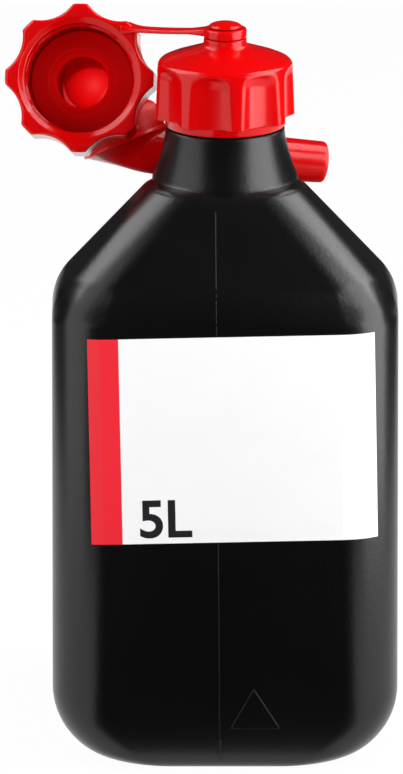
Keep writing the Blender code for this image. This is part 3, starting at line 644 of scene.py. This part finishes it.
def grip(sizes):
    """The round handle from behind the neck down to the can's back, as one bent rod."""
    start, reach, low, high = CAP_AT.y + 0.022, 0.093, sizes.root - 0.043, sizes.root + 0.0265
    half_width, half_height = 0.014, 0.00825
    route_shares = ((0.0, 0.72), (0.11, 0.745), (0.24, 0.86), (0.42, 0.975), (0.60, 1.0), (0.78, 0.87),
                    (0.91, 0.62), (0.97, 0.33), (1.0, 0.0))
    route = smooth_route([Vector((0, start + reach * along, lerp(low, high, rise)))
                          for along, rise in route_shares], 10)
    rows = []
    for at, point in enumerate(route):
        way = (route[min(at + 1, len(route) - 1)] - route[max(at - 1, 0)]).normalized()
        rows.append(oval(point, Vector((half_width, 0, 0)), Vector((0, -way.z, way.y)) * half_height, 48))
    return skin("handle", rows)


def can_shell(sizes):
    """The can with its hollow, threaded neck, handle and raised base panels, as one mesh."""
    land, rim = sizes.root + 0.0215, CAP_AT.z
    flare, mouth, throat_radius, neck_wall = land_flare(sizes.root, land), 0.0213, 0.0183, 0.0022
    thread_low, turns, ridge = land + 0.0093, 1.75, 0.00125
    at_neck = Matrix.Translation((CAP_AT.x, CAP_AT.y, 0))

    def threaded(angle, height):
        return mouth + thread_rise(angle, height, thread_low, turns, ridge, math.radians(3))
    foot_radius = flare[0][0]
    profile = [(foot_radius, sizes.root - 0.006)] + flare
    profile += [(mouth, land + 0.00001), (mouth, land + 0.004)]
    profile += [(threaded, lerp(land + 0.0045, rim - 0.0010, step / 54)) for step in range(55)]
    profile += [(mouth, rim - 0.0005), (mouth - 0.0005, rim)]
    neck = helper("neck", skin("neck", turned_rows(profile, 144)), at_neck)

    cavity = rounded_can("cavity", sizes, sizes.wall)
    cavity_foot = helper("cavity_foot", can_foot(sizes, sizes.wall))
    bore = [(foot_radius - neck_wall, sizes.root - 0.008)]
    bore += [(radius - neck_wall, height) for radius, height in flare[:-1]]
    bore += [(throat_radius, land), (throat_radius, rim + 0.004)]
    throat = helper("throat", skin("throat", turned_rows(bore, 96)), at_neck)

    handle = helper("handle", grip(sizes))
    shell = rounded_can("shell", sizes, 0)
    lower = helper("lower", can_foot(sizes, 0))
    panels = [helper("panel", base_panel(sizes, end)) for end in (1, -1)]
    lifts = [helper("lift", base_panel(sizes, end, sizes.wall)) for end in (1, -1)]
    steps = [(cavity, cavity_foot, "UNION")] + [(cavity, lift, "DIFFERENCE") for lift in lifts]
    steps += [(cavity, throat, "UNION"), (shell, lower, "UNION")]
    steps += [(shell, panel, "DIFFERENCE") for panel in panels]
    steps += [(shell, neck, "UNION"), (shell, handle, "UNION"), (shell, cavity, "DIFFERENCE")]
    return built(shell, steps)


def base_panel(sizes, end, grown=0):
    """A raised panel that is cut out under the can, or the grown block that lifts the cavity over it."""
    side_margin, end_margin, half_bar, corner, rise = 0.039, 0.019, 0.008, 0.012, 0.0050
    across = sizes.width / 2 - side_margin + grown
    far = sizes.depth / 2 - end_margin + grown
    near = half_bar - grown
    rows = []
    for height, inset in ((-0.004, -0.004), (rise - 0.0008 + grown, 0.0042), (rise - 0.0001 + grown, 0.0051),
                          (rise + grown, 0.0058)):
        rows.append(rounded_rectangle(across - inset, (far - near) / 2 - inset, corner - inset + grown, 8,
                                      end * (far + near) / 2, height))
    return skin("panel", rows)


def smooth_route(points, spans):
    """Points along a smooth curve through the given points."""
    ends = [points[0] * 2 - points[1]] + list(points) + [points[-1] * 2 - points[-2]]
    route = []
    for before, start, end, after in zip(ends, ends[1:], ends[2:], ends[3:]):
        for step in range(spans):
            share = step / spans
            cube, square = share ** 3, share ** 2
            route.append(start * (2 * cube - 3 * square + 1)
                         + (end - before) / 2 * (cube - 2 * square + share)
                         + end * (3 * square - 2 * cube) + (after - start) / 2 * (cube - square))
    route.append(points[-1].copy())
    return route


# Moulded lines on the front wall, as corners (across, height).
SEAM_ENDS = [(-0.0040, 0.2360), (-0.0021, 0.0010)]
FIN_ENDS = [(-0.0021, 0.0135), (-0.0021, 0.0040)]
FIN_WIDTH, FIN_RISE = 0.0009, 0.0011
TRIANGLE = [(0.0120, 0.0352), (0.0024, 0.0182), (0.0229, 0.0182), (0.0120, 0.0352)]


class FUELCAN_OT_can(bpy.types.Operator):
    """Build the can with its neck and handle, its mould seam and its moulded triangle"""
    bl_idname = "fuelcan.can"
    bl_label = "Can"

    def execute(self, context):
        sizes = context.scene.fuelcan_can
        # The can's edges get a colour 1.25 times paler: a painted highlight.
        black = moulded_plastic("satin_black_plastic", sizes.colour, shaded(sizes.colour, 1.25),
                                sizes.roughness, sizes.grain, wave_share=0.85, edge=sizes.blend, gloss=0.5,
                                wave=480.0)
        shell = add_piece("can_shell", can_shell(sizes), black, "can", sharp=32)
        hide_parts("can_body")
        wall = wall_finder(shell)
        width, rise = sizes.line_width, sizes.line_rise
        for name, corners, steps, bead_width, bead_rise in (
                ("front_seam", SEAM_ENDS, 90, width, rise), ("seam_fin", FIN_ENDS, 8, FIN_WIDTH, FIN_RISE),
                ("moulded_triangle", TRIANGLE, 16, width * 1.5, rise * 8)):
            bead = line_on_wall(name, wall, spaced(corners, steps), bead_width, bead_rise)
            add_piece(name, bead, black, "can", sharp=80)
        return {"FINISHED"}


def spaced(corners, steps):
    """Points (across, height) evenly spaced along the straight lines from corner to corner."""
    points = []
    for start, end in zip(corners, corners[1:]):
        points += [(lerp(start[0], end[0], step / steps), lerp(start[1], end[1], step / steps))
                   for step in range(steps)]
    return points + [corners[-1]]


def wall_finder(item):
    """A function from (across, height) to the point and outward normal on the front of a piece."""
    shape = bmesh.new()
    shape.from_mesh(item.data)
    tree = BVHTree.FromBMesh(shape)
    shape.free()

    def find(across, height):
        point, normal, _, _ = tree.ray_cast(Vector((across, -1, height)), Vector((0, 1, 0)))
        if point is None:
            raise RuntimeError(f"no wall of {item.name} at {across}, {height}")
        return point, normal
    return find


def line_on_wall(name, wall, points, width, rise):
    """A thin raised bead along points (across, height) on a wall, half sunk in it."""
    rows = []
    found = [wall(across, height) for across, height in points]
    for at, (point, normal) in enumerate(found):
        ahead = found[min(at + 1, len(found) - 1)][0] - found[max(at - 1, 0)][0]
        rows.append(oval(point, normal.cross(ahead).normalized() * (width / 2), normal * rise, 8))
    return skin(name, rows)


# Place of the volume mark's lower left corner (across, height), and its height over the label.
MARK_AT = (-0.0362, 0.1014)
MARK_RISE = 0.00001


class FUELCAN_OT_label(bpy.types.Operator):
    """Give the label its film and plain band, and add the volume mark"""
    bl_idname = "fuelcan.label"
    bl_label = "Label"

    def execute(self, context):
        sizes = context.scene.fuelcan_label
        carried("label", label_film(sizes))
        turn = Matrix.Rotation(-sizes.tilt, 4, "Y") @ Matrix.Rotation(math.pi / 2, 4, "X")
        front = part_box("label")[0].y - MARK_RISE
        add_piece("volume_mark", volume_mark(sizes), label_ink(sizes), "can",
                  Matrix.Translation((MARK_AT[0], front, MARK_AT[1])) @ turn, sharp=30)
        return {"FINISHED"}


def volume_mark(sizes):
    """The volume figure as a thin mesh, its lower left corner at 0."""
    words = bpy.data.curves.new("volume_mark", "FONT")
    words.body = "5L"
    letter_share, boldness = 1.38, 0.028
    words.size = sizes.mark_height * letter_share
    words.offset = sizes.mark_height * boldness
    words.extrude = 0.00004
    mesh = built(helper("volume_mark_guide", words), [])
    shape = bmesh.new()
    shape.from_mesh(mesh)
    bmesh.ops.remove_doubles(shape, verts=shape.verts, dist=0.000001)
    shape.to_mesh(mesh)
    shape.free()
    return mesh


def label_ink(sizes):
    """Near black ink with a faint cloudy gloss."""
    material, nodes, links, shader = start_material("label_ink")
    patches = placed_group(nodes, moulded_texture, Grain_Scale=2600.0).outputs["Patches"]
    links.new(blended(nodes, links, patches, sizes.ink, shaded(sizes.ink, 1.6)), shader.inputs["Base Color"])
    links.new(ranged(nodes, links, patches, 0.35, 0.5), shader.inputs["Roughness"])
    return material


def red_plastic(context, name="red_plastic_glossy", through=0.0, roughness=0.0, gloss=0.3):
    """The red plastic of cap and spout, with its share of light through it, made at its first use."""
    sizes = context.scene.fuelcan_cap
    # The paler edge red is a painted highlight.
    return bpy.data.materials.get(name) or moulded_plastic(
        name, sizes.colour, sizes.edge_colour, roughness or sizes.roughness, grain=0.00003, wave_share=0.8,
        edge=0.0006, gloss=gloss, through=through)


class FUELCAN_OT_cap(bpy.types.Operator):
    """Build the lobed screw cap with its arched finger grooves, skirt, domed top and boss"""
    bl_idname = "fuelcan.cap"
    bl_label = "Screw cap"

    def execute(self, context):
        red = red_plastic(context)
        place = Matrix.Translation((CAP_AT.x, CAP_AT.y, 0))
        cap = add_piece("lobed_cap", lobed_cap(context.scene.fuelcan_cap), red, "cap", place,
                        sharp=40)
        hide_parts("main_cap")
        carried("cap_seal", sealing_rubber("seal_rubber"))
        rivet = add_piece("domed_rivet", domed_rivet(), red, "cap", place, sharp=50)
        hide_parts("strap_rivet")
        return {"FINISHED"}


def lobed_cap(sizes):
    """The screw cap with its arched finger grooves, skirt, domed top and hollow boss."""
    low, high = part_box("main_cap")
    base, top = low.z, high.z
    side_low, side_top = base + 0.0035, base + 0.0268
    foot, ceiling = side_top + 0.0072, base + 0.0262
    corner, top_radius, lip = 0.0032, 0.0284, 0.0004
    bore, skirt, boss, boss_bore = 0.0232, 0.0252, 0.0090, 0.0045

    def lobe(height):
        return lerp(sizes.lobe, top_radius, max(min((height - side_low) / (side_top - side_low), 1), 0))
    outline = fluted(lobe, sizes.valley, sizes.flute, sizes.flutes, sizes.turned_by, 0.0011,
                     arch=side_top - 0.0006)

    def corner_outline(angle, height):
        share = max(min((height - (side_top - corner / 2)) / corner, 1), 0)
        limit = top_radius - corner + corner * math.sqrt(max(1 - share ** 2, 0))
        return soft_least(outline(angle, height), limit, lip)

    def under(angle, height):
        return max(outline(angle, side_low) - lip, 0.0250)
    profile = [(boss_bore - 0.0003, top - 0.0075), (boss_bore, top - 0.0075), (boss_bore, top - lip),
               (boss_bore + lip, top), (boss - 0.0006, top), (boss - 0.0002, top - 0.00015),
               (boss, top - 0.0005), (boss, foot + 0.0016), (0.0092, foot + 0.0009), (0.0098, foot + 0.0002),
               (0.0108, foot - 0.0003), (0.0135, foot - 0.0012), (0.0180, foot - 0.0027),
               (0.0215, foot - 0.0039), (0.0238, foot - 0.0047)]
    start = side_top - corner / 2
    profile += [(corner_outline, start + corner * math.cos(step * math.pi / 16)) for step in range(1, 9)]
    profile += [(outline, lerp(start, side_low + 0.0003, step / 26)) for step in range(1, 27)]
    profile += [(under, side_low), (skirt + 0.0002, side_low), (skirt, side_low - 0.0003),
                (skirt, base + 0.0005), (skirt - 0.0003, base + 0.0001), (skirt - 0.0007, base),
                (bore + lip, base), (bore, base + lip), (bore, ceiling), (0.0008, ceiling)]
    return skin("lobed_cap", turned_rows(profile, 288))


def domed_rivet():
    """The domed button that holds the strap's ring on the cap's boss."""
    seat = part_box("strap_rivet")[1].z - RIVET_SEAT_DROP
    head, stem, dome = 0.0069, 0.0042, 0.0020
    profile = [(stem - 0.0004, seat - 0.0074), (stem, seat - 0.0070), (stem, seat), (head - 0.0003, seat),
               (head, seat + 0.0002)]
    for step in range(1, 13):
        angle = math.radians(8 * step - 6)
        profile.append((head * math.cos(angle), seat + 0.0003 + dome * math.sin(angle)))
    return skin("domed_rivet", turned_rows(profile, 96))


class FUELCAN_OT_nut(bpy.types.Operator):
    """Build the spout nut with its threaded mouth, and the strap and ring that tie it to the cap"""
    bl_idname = "fuelcan.nut"
    bl_label = "Spout nut and strap"

    def execute(self, context):
        sizes = context.scene.fuelcan_nut
        red = red_plastic(context, "red_plastic_through", 0.35)
        nut = add_piece("spout_nut_shell", nut_shell(sizes), red, "tether", nut_place(),
                        sharp=40)
        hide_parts("spout_nut")
        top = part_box("strap_rivet")[1].z - RIVET_SEAT_DROP - 0.0003
        low = top - 0.0039
        at = Vector((CAP_AT.x, CAP_AT.y, 0))
        add_piece("strap_ring", strap_ring(low, top), red, "tether",
                  Matrix.Translation(at), sharp=40)
        strap = nut_strap(sizes, at + Vector((0, 0, (low + top) / 2)))
        add_piece("nut_strap", strap, red, "tether", sharp=50)
        return {"FINISHED"}


def nut_shell(sizes):
    """The lobed union nut with its open, threaded mouth, about its own axis, the mouth at 0."""
    outline = fluted(lambda height: sizes.lobe, sizes.valley, sizes.flute, 8, 0, 0.0006)

    def drawn_in(inset):
        return lambda angle, height: outline(angle, height) - inset

    def inside(angle, height):
        return sizes.bore - thread_rise(angle, height, -0.006 - THREAD_PITCH * 2, 1.5, 0.0013, math.pi / 2)
    back, floor, hole = -sizes.length, -sizes.length + 0.0032, 0.0127
    profile = [(hole, floor), (hole, back + 0.0003), (hole + 0.0003, back), (drawn_in(0.0016), back)]
    profile += [(drawn_in(0.0007), back + 0.0003), (drawn_in(0.0002), back + 0.0009)]
    profile += [(drawn_in(0), lerp(back + 0.0016, -0.0016, step / 12)) for step in range(13)]
    profile += [(drawn_in(0.00015), -0.0009), (drawn_in(0.0005), -0.0003), (drawn_in(0.0012), 0.0)]
    profile += [(0.0258, 0.0), (0.0255, -0.0002), (0.0240, -0.0016), (0.0236, -0.0019)]
    profile += [(inside, lerp(-0.0021, floor + 0.0006, step / 56)) for step in range(57)]
    profile += [(sizes.bore - 0.0002, floor + 0.0002), (sizes.bore - 0.0006, floor)]
    return skin("spout_nut_shell", turned_rows(profile, 288), closed=True)


def strap_ring(low, top):
    """The ring at the strap's end, round the button's stem, between two heights."""
    inner, outer = 0.0045, 0.0090
    profile = [(inner, low + 0.0003), (inner + 0.0003, low), (outer - 0.0004, low), (outer, low + 0.0004),
               (outer, top - 0.0006), (outer - 0.0003, top - 0.0002), (outer - 0.0008, top),
               (inner + 0.0003, top), (inner, top - 0.0003)]
    return skin("strap_ring", turned_rows(profile, 96), closed=True)


def nut_strap(sizes, ring_middle):
    """The strap from the nut's rim to its ring, wider and thicker at both ends."""
    corner = math.radians(45)
    reach = sizes.lobe - 0.0044
    start = nut_place() @ Vector((reach * math.cos(corner), reach * math.sin(corner) + 0.0022, -0.0034))
    way = ring_middle - start
    way.z = 0
    way.normalize()
    aside = Vector((-way.y, way.x, 0))
    end = ring_middle - way * 0.0062
    steps, sag, squareness = 40, 0.0006, 0.45
    rows = []
    for step in range(steps + 1):
        share = step / steps
        middle = start.lerp(end, share) - Vector((0, 0, sag * math.sin(math.pi * share)))
        near = max(1 - share / 0.22, 0) ** 2
        far = max((share - 0.72) / 0.28, 0) ** 1.5
        half_width = sizes.strap_width / 2 * (1 + 0.35 * near + 0.75 * far)
        half_thick = sizes.strap_thickness / 2 * (1 + 1.4 * near + 1.1 * far)
        rows.append(oval(middle, aside * half_width, Vector((0, 0, half_thick)), 20, squareness))
    return skin("nut_strap", rows)


def smooth_elbow():
    """The flange in the nut, the pipe behind it, the round corner and the spigot, with their bores."""
    high, low, far, top = -0.0240, -0.0265, -0.0522, 0.0287
    wall, pipe_radius, corner_radius, flange = 0.0016, 0.0124, 0.0138, 0.0216
    bore_radius, groove = pipe_radius - wall, 0.0116
    aside = HEAD_DOWN.cross(-NUT_OUT).normalized()
    corner = Matrix.Translation(NUT_AT + NUT_OUT * far + aside * 0.0032)

    def round_part(name, profile, place):
        return helper(name, skin(name, turned_rows(profile, 96)), place)

    def ball(name, radius):
        angles = [math.pi * step / 48 for step in range(1, 48)]
        profile = [(radius * math.sin(angle), radius * math.cos(angle)) for angle in angles]
        return round_part(name, profile, corner)
    elbow = round_part("elbow", [(flange - 0.0004, high), (flange, high - 0.0004), (flange, low),
                                 (pipe_radius, low), (pipe_radius, far)], nut_place())
    leg = round_part("leg", [(pipe_radius, top), (pipe_radius, 0.0117), (groove, 0.0117), (groove, 0.0093),
                             (pipe_radius, 0.0093), (pipe_radius, 0.0065)], head_place())
    throat = round_part("throat", [(0.0143, high + 0.0003), (0.0140, high), (0.0112, high - 0.0026),
                                   (bore_radius, high - 0.0032), (bore_radius, far + wall)], nut_place())
    bore = round_part("bore", [(bore_radius, top - wall), (bore_radius, 0.0025)], head_place())
    hollow = ball("corner_hollow", corner_radius - wall)
    return built(elbow, [(elbow, ball("corner", corner_radius), "UNION"), (elbow, leg, "UNION"),
                         (elbow, throat, "DIFFERENCE"), (elbow, hollow, "DIFFERENCE"),
                         (elbow, bore, "DIFFERENCE")])


def pipe(name, route, place):
    """A round rod along points that carry their radius, seen from a place, as a helper."""
    rows = []
    for at, point in enumerate(route):
        way = (route[min(at + 1, len(route) - 1)].to_3d() - route[max(at - 1, 0)].to_3d()).normalized()
        aside = way.cross(Vector((0, 0, 1))).normalized()
        spokes = oval(Vector(), aside, aside.cross(way), 72)
        rows.append([point.to_3d() + spoke * point.w for spoke in spokes])
    mesh = skin(name, rows)
    mesh.transform(place.inverted())
    return helper(name, mesh, place)


def pouring_tube(sizes):
    """The spout's head with its rim, and the tapered tube that leaves its underside, hollow throughout."""
    place = head_place()
    rim_radius, wall, socket_radius = 0.0187, 0.0017, 0.0127
    profile = []
    for step in range(17):
        angle = step * math.pi / 32
        profile.append((sizes.head - HEAD_ROUNDING * (1 - math.sin(angle)),
                        sizes.height - HEAD_ROUNDING * (1 - math.cos(angle))))
    profile += [(sizes.head, 0.0018), (0.0183, 0.0013), (0.0186, 0.0012), (rim_radius, 0.0010),
                (rim_radius, 0.0003), (0.0184, 0.0), (0.0174, 0.0), (0.00644, -0.0078), (0.0008, -0.0093)]
    head = helper("head", skin("head", turned_rows(profile, 128)), place)
    start = HEAD_AT - HEAD_DOWN * 0.0008
    run, back, drop, tip_radius, root_radius = 0.0840, 0.0212, 0.0142, 0.0088, 0.0108
    route_shares = ((0, 0, 0, 1), (0.138, 0.10, 0.26, 0.90), (0.30, 0.28, 0.39, 0.75),
                    (0.50, 0.49, 0.56, 0.55), (0.80, 0.80, 0.83, 0.20), (1, 1, 1, 0))
    route = smooth_route([Vector((start.x + run * along, start.y + back * behind, start.z - drop * below,
                                  lerp(tip_radius, root_radius, size)))
                          for along, behind, below, size in route_shares], 10)
    way = (route[-1] - route[-2]).to_3d().normalized().to_4d()
    way.w = 0
    tip = route[-1]
    rim = [tip - way * before - Vector((0, 0, 0, less))
           for before, less in ((0.0012, 0), (0.0006, 0.00015), (0.0002, 0.0004), (0, 0.0009))]
    thinner = Vector((0, 0, 0, wall))
    bores = [point - thinner for point in route] + [tip + way * 0.003 - thinner]
    hollow = [(socket_radius, sizes.height + 0.004), (socket_radius, 0.0062), (0.0108, 0.0062),
              (0.00474, -0.0061), (0.0006, -0.0076)]
    socket = helper("socket", skin("socket", turned_rows(hollow, 96)), place)
    return built(head, [(head, pipe("tube", route[:-1] + rim, place), "UNION"), (head, socket, "DIFFERENCE"),
                        (head, pipe("tube_bore", bores, place), "DIFFERENCE")])


class FUELCAN_OT_spout(bpy.types.Operator):
    """Build the elbow and the pouring tube, and add the fine ribs round the head"""
    bl_idname = "fuelcan.spout"
    bl_label = "Elbow and pouring tube"

    def execute(self, context):
        sizes = context.scene.fuelcan_spout
        red = red_plastic(context, "red_plastic_through", 0.35)
        satin = red_plastic(context, "red_plastic_satin", 0.4, 0.55, 0.12)
        elbow = add_piece("smooth_elbow", smooth_elbow(), satin, "elbow", nut_place(),
                          sharp=40)
        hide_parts("spout_elbow")
        tube = add_piece("pouring_tube", pouring_tube(sizes), red, "spout", head_place(),
                         sharp=40)
        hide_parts("spout_tube")
        carried("elbow_o_ring", sealing_rubber("o_ring_rubber_fine"))
        add_piece("head_ribs", head_ribs(sizes), red, "spout", head_place(), sharp=50)
        return {"FINISHED"}


def head_ribs(sizes):
    """The sleeve of fine ribs round the spout's head, running out over its rounded top."""
    inside = sizes.head - 0.0010
    corner = math.radians(72)

    def ribbed(radius, share):
        def reach(angle, height):
            wave = 0.5 + 0.5 * math.cos(angle * sizes.ribs)
            return radius + sizes.rib_rise * share * (wave ** 0.7 - 0.15)
        return reach
    straight = sizes.height - HEAD_ROUNDING
    profile = [(inside, 0.0012), (ribbed(sizes.head, 1), 0.00125)]
    profile += [(ribbed(sizes.head, 1), lerp(0.002, straight, step / 5)) for step in range(6)]
    for step in range(1, 7):
        angle = step * corner / 6
        profile.append((ribbed(sizes.head - HEAD_ROUNDING * (1 - math.cos(angle)), 1 - 0.8 * step / 6),
                        straight + HEAD_ROUNDING * math.sin(angle)))
    last = sizes.head - HEAD_ROUNDING * (1 - math.cos(corner))
    profile += [(last - 0.0012, sizes.height - 0.0010), (sizes.head - 0.0016, straight)]
    return skin("head_ribs", turned_rows(profile, sizes.ribs * 6), closed=True)


# The floor's three faces, with a gap in front of the can.
FLOOR_OUTLINES = [[(-0.8, -0.115), (0.8, -0.115), (0.8, 1.3), (-0.8, 1.3)],
                  [(0.078, -0.115), (0.34, -0.9), (0.8, -0.9), (0.8, -0.115)],
                  [(-0.8, -0.115), (-0.8, -0.9), (-0.34, -0.9), (-0.078, -0.115)]]
FILL = "front_fill"
# Each lamp's name, place, the height on the can's axis that it is pointed at, size and power.
LAMPS = [("left_side_panel", (-1.10, -0.44, 0.60), 0.16, (1.2, 1.6), 9),
         ("right_side_panel", (1.10, -0.44, 0.45), 0.16, (1.2, 1.7), 30),
         ("left_top_softbox", (-0.80, 0.25, 1.20), 0.2, (0.9, 0.9), 10.5),
         ("right_top_softbox", (0.80, 0.25, 1.20), 0.2, (0.9, 0.9), 13),
         (FILL, (-0.3, -1.8, 0.6), 0.16, (1.2, 1.2), 13.5)]


class FUELCAN_OT_stage(bpy.types.Operator):
    """Set the floor, the lamps, the background and the camera"""
    bl_idname = "fuelcan.stage"
    bl_label = "Stage, lamps and camera"

    def execute(self, context):
        sizes = context.scene.fuelcan_stage
        scene = context.scene
        scene.view_settings.view_transform = "Standard"

        aim = Vector(sizes.aim)
        back = Vector((0, -math.cos(sizes.elevation), math.sin(sizes.elevation)))
        camera = bpy.data.cameras.new("photo_camera")
        camera.sensor_width = 36
        camera.lens = camera.sensor_width * sizes.distance / sizes.view_height
        camera.clip_start, camera.clip_end = 0.1, 50
        scene.camera = pointed("photo_camera", camera, aim + back * sizes.distance, aim)

        shape = bmesh.new()
        for outline in FLOOR_OUTLINES:
            shape.faces.new([shape.verts.new((x, y, 0)) for x, y in outline])
        mesh = bpy.data.meshes.new("studio_floor")
        shape.to_mesh(mesh)
        shape.free()
        mesh.shade_smooth()
        mesh.materials.append(floor_material(sizes))
        helper("studio_floor", mesh)
        set_world(scene)

        for name, place, height, size, power in LAMPS:
            light = bpy.data.lights.new(name, "AREA")
            light.shape = "RECTANGLE"
            light.size, light.size_y = size
            light.energy = power
            pointed(name, light, Vector(place), Vector((0, 0, height))).visible_glossy = name != FILL
        snoot = bpy.data.lights.new("throat_snoot", "SPOT")
        snoot.energy = 75
        snoot.spot_size = math.radians(1.25)
        snoot.spot_blend = 0.7
        snoot.shadow_soft_size = 0.002
        snoot_place = NUT_AT + NUT_OUT * 1.2 + Vector((-0.08, 0, 0.10))
        pointed("throat_snoot", snoot, snoot_place, NUT_AT - NUT_OUT * 0.03)
        return {"FINISHED"}


def pointed(name, data, place, target):
    """A camera or lamp at a place, pointed at a target."""
    item = helper(name, data)
    item.location = place
    item.rotation_mode = "QUATERNION"
    item.rotation_quaternion = (target - place).to_track_quat("-Z", "Y")
    return item


def any_ray(nodes, links, *kinds):
    """A mask that is 1 for any of these kinds of ray."""
    rays = placed(nodes, "LightPath")
    mask = rays.outputs[kinds[0]]
    for kind in kinds[1:]:
        mask = worked_out(nodes, links, "MAXIMUM", mask, rays.outputs[kind]).outputs["Value"]
    return mask


def mixed_shaders(nodes, links, factor, first, second, target):
    """Two shaders mixed by a mask and sent to an output."""
    mix = placed(nodes, "MixShader")
    for socket, source in zip(mix.inputs, (factor, first.outputs[0], second.outputs[0])):
        links.new(source, socket)
    links.new(mix.outputs[0], target)


def set_world(scene):
    """A faint even light that the camera sees as white."""
    world = scene.world or bpy.data.worlds.new("studio")
    scene.world = world
    world.use_nodes = True
    nodes, links = world.node_tree.nodes, world.node_tree.links
    nodes.clear()
    out = placed(nodes, "OutputWorld")
    seen = placed(nodes, "Background", Color=WHITE)
    soft = placed(nodes, "Background", Color=WHITE, Strength=0.03)
    mask = any_ray(nodes, links, "Is Camera Ray", "Is Transmission Ray")
    mixed_shaders(nodes, links, mask, soft, seen, out.inputs["Surface"])


def floor_material(sizes):
    """A plain pale floor that shows near white to the camera and still takes the can's shadow."""
    material, nodes, links, shader = start_material("pale_floor")
    shader.inputs["Roughness"].default_value = 0.8
    shader.inputs["Base Color"].default_value = (*sizes.floor, 1)
    glow = placed(nodes, "Emission", Color=WHITE)
    mask = any_ray(nodes, links, "Is Camera Ray", "Is Transmission Ray", "Is Glossy Ray")
    share = worked_out(nodes, links, "MULTIPLY", mask, sizes.glow)
    mixed_shaders(nodes, links, share.outputs["Value"], shader, glow,
                  nodes["Material Output"].inputs["Surface"])
    return material


class FUELCAN_PT_panel(bpy.types.Panel):
    """Lists the can's pieces and their sizes"""
    bl_idname = "FUELCAN_PT_panel"
    bl_label = "Fuel can"
    bl_space_type = "VIEW_3D"
    bl_region_type = "UI"
    bl_category = "Fuel can"

    def draw(self, context):
        layout = self.layout
        for operator, settings in STEPS:
            layout.operator(operator.bl_idname)
            group = getattr(context.scene, settings)
            for name in group.__annotations__:
                layout.prop(group, name)


SETTINGS = {
    "fuelcan_can": CanSettings,
    "fuelcan_label": LabelSettings,
    "fuelcan_cap": CapSettings,
    "fuelcan_nut": NutSettings,
    "fuelcan_spout": SpoutSettings,
    "fuelcan_stage": StageSettings,
}
STEPS = [
    (FUELCAN_OT_can, "fuelcan_can"),
    (FUELCAN_OT_label, "fuelcan_label"),
    (FUELCAN_OT_cap, "fuelcan_cap"),
    (FUELCAN_OT_nut, "fuelcan_nut"),
    (FUELCAN_OT_spout, "fuelcan_spout"),
    (FUELCAN_OT_stage, "fuelcan_stage"),
]


def register():
    for group in SETTINGS.values():
        bpy.utils.register_class(group)
    for operator, _ in STEPS:
        bpy.utils.register_class(operator)
    bpy.utils.register_class(FUELCAN_PT_panel)
    for name, group in SETTINGS.items():
        setattr(bpy.types.Scene, name, PointerProperty(type=group))


def unregister():
    for name in SETTINGS:
        delattr(bpy.types.Scene, name)
    bpy.utils.unregister_class(FUELCAN_PT_panel)
    for operator, _ in reversed(STEPS):
        bpy.utils.unregister_class(operator)
    for group in SETTINGS.values():
        bpy.utils.unregister_class(group)


def main():
    register()
    bpy.ops.fuelcan.can()
    bpy.ops.fuelcan.label()
    bpy.ops.fuelcan.cap()
    bpy.ops.fuelcan.nut()
    bpy.ops.fuelcan.spout()
    bpy.ops.fuelcan.stage()
    bpy.context.view_layer.update()


if __name__ == "__main__":
    main()
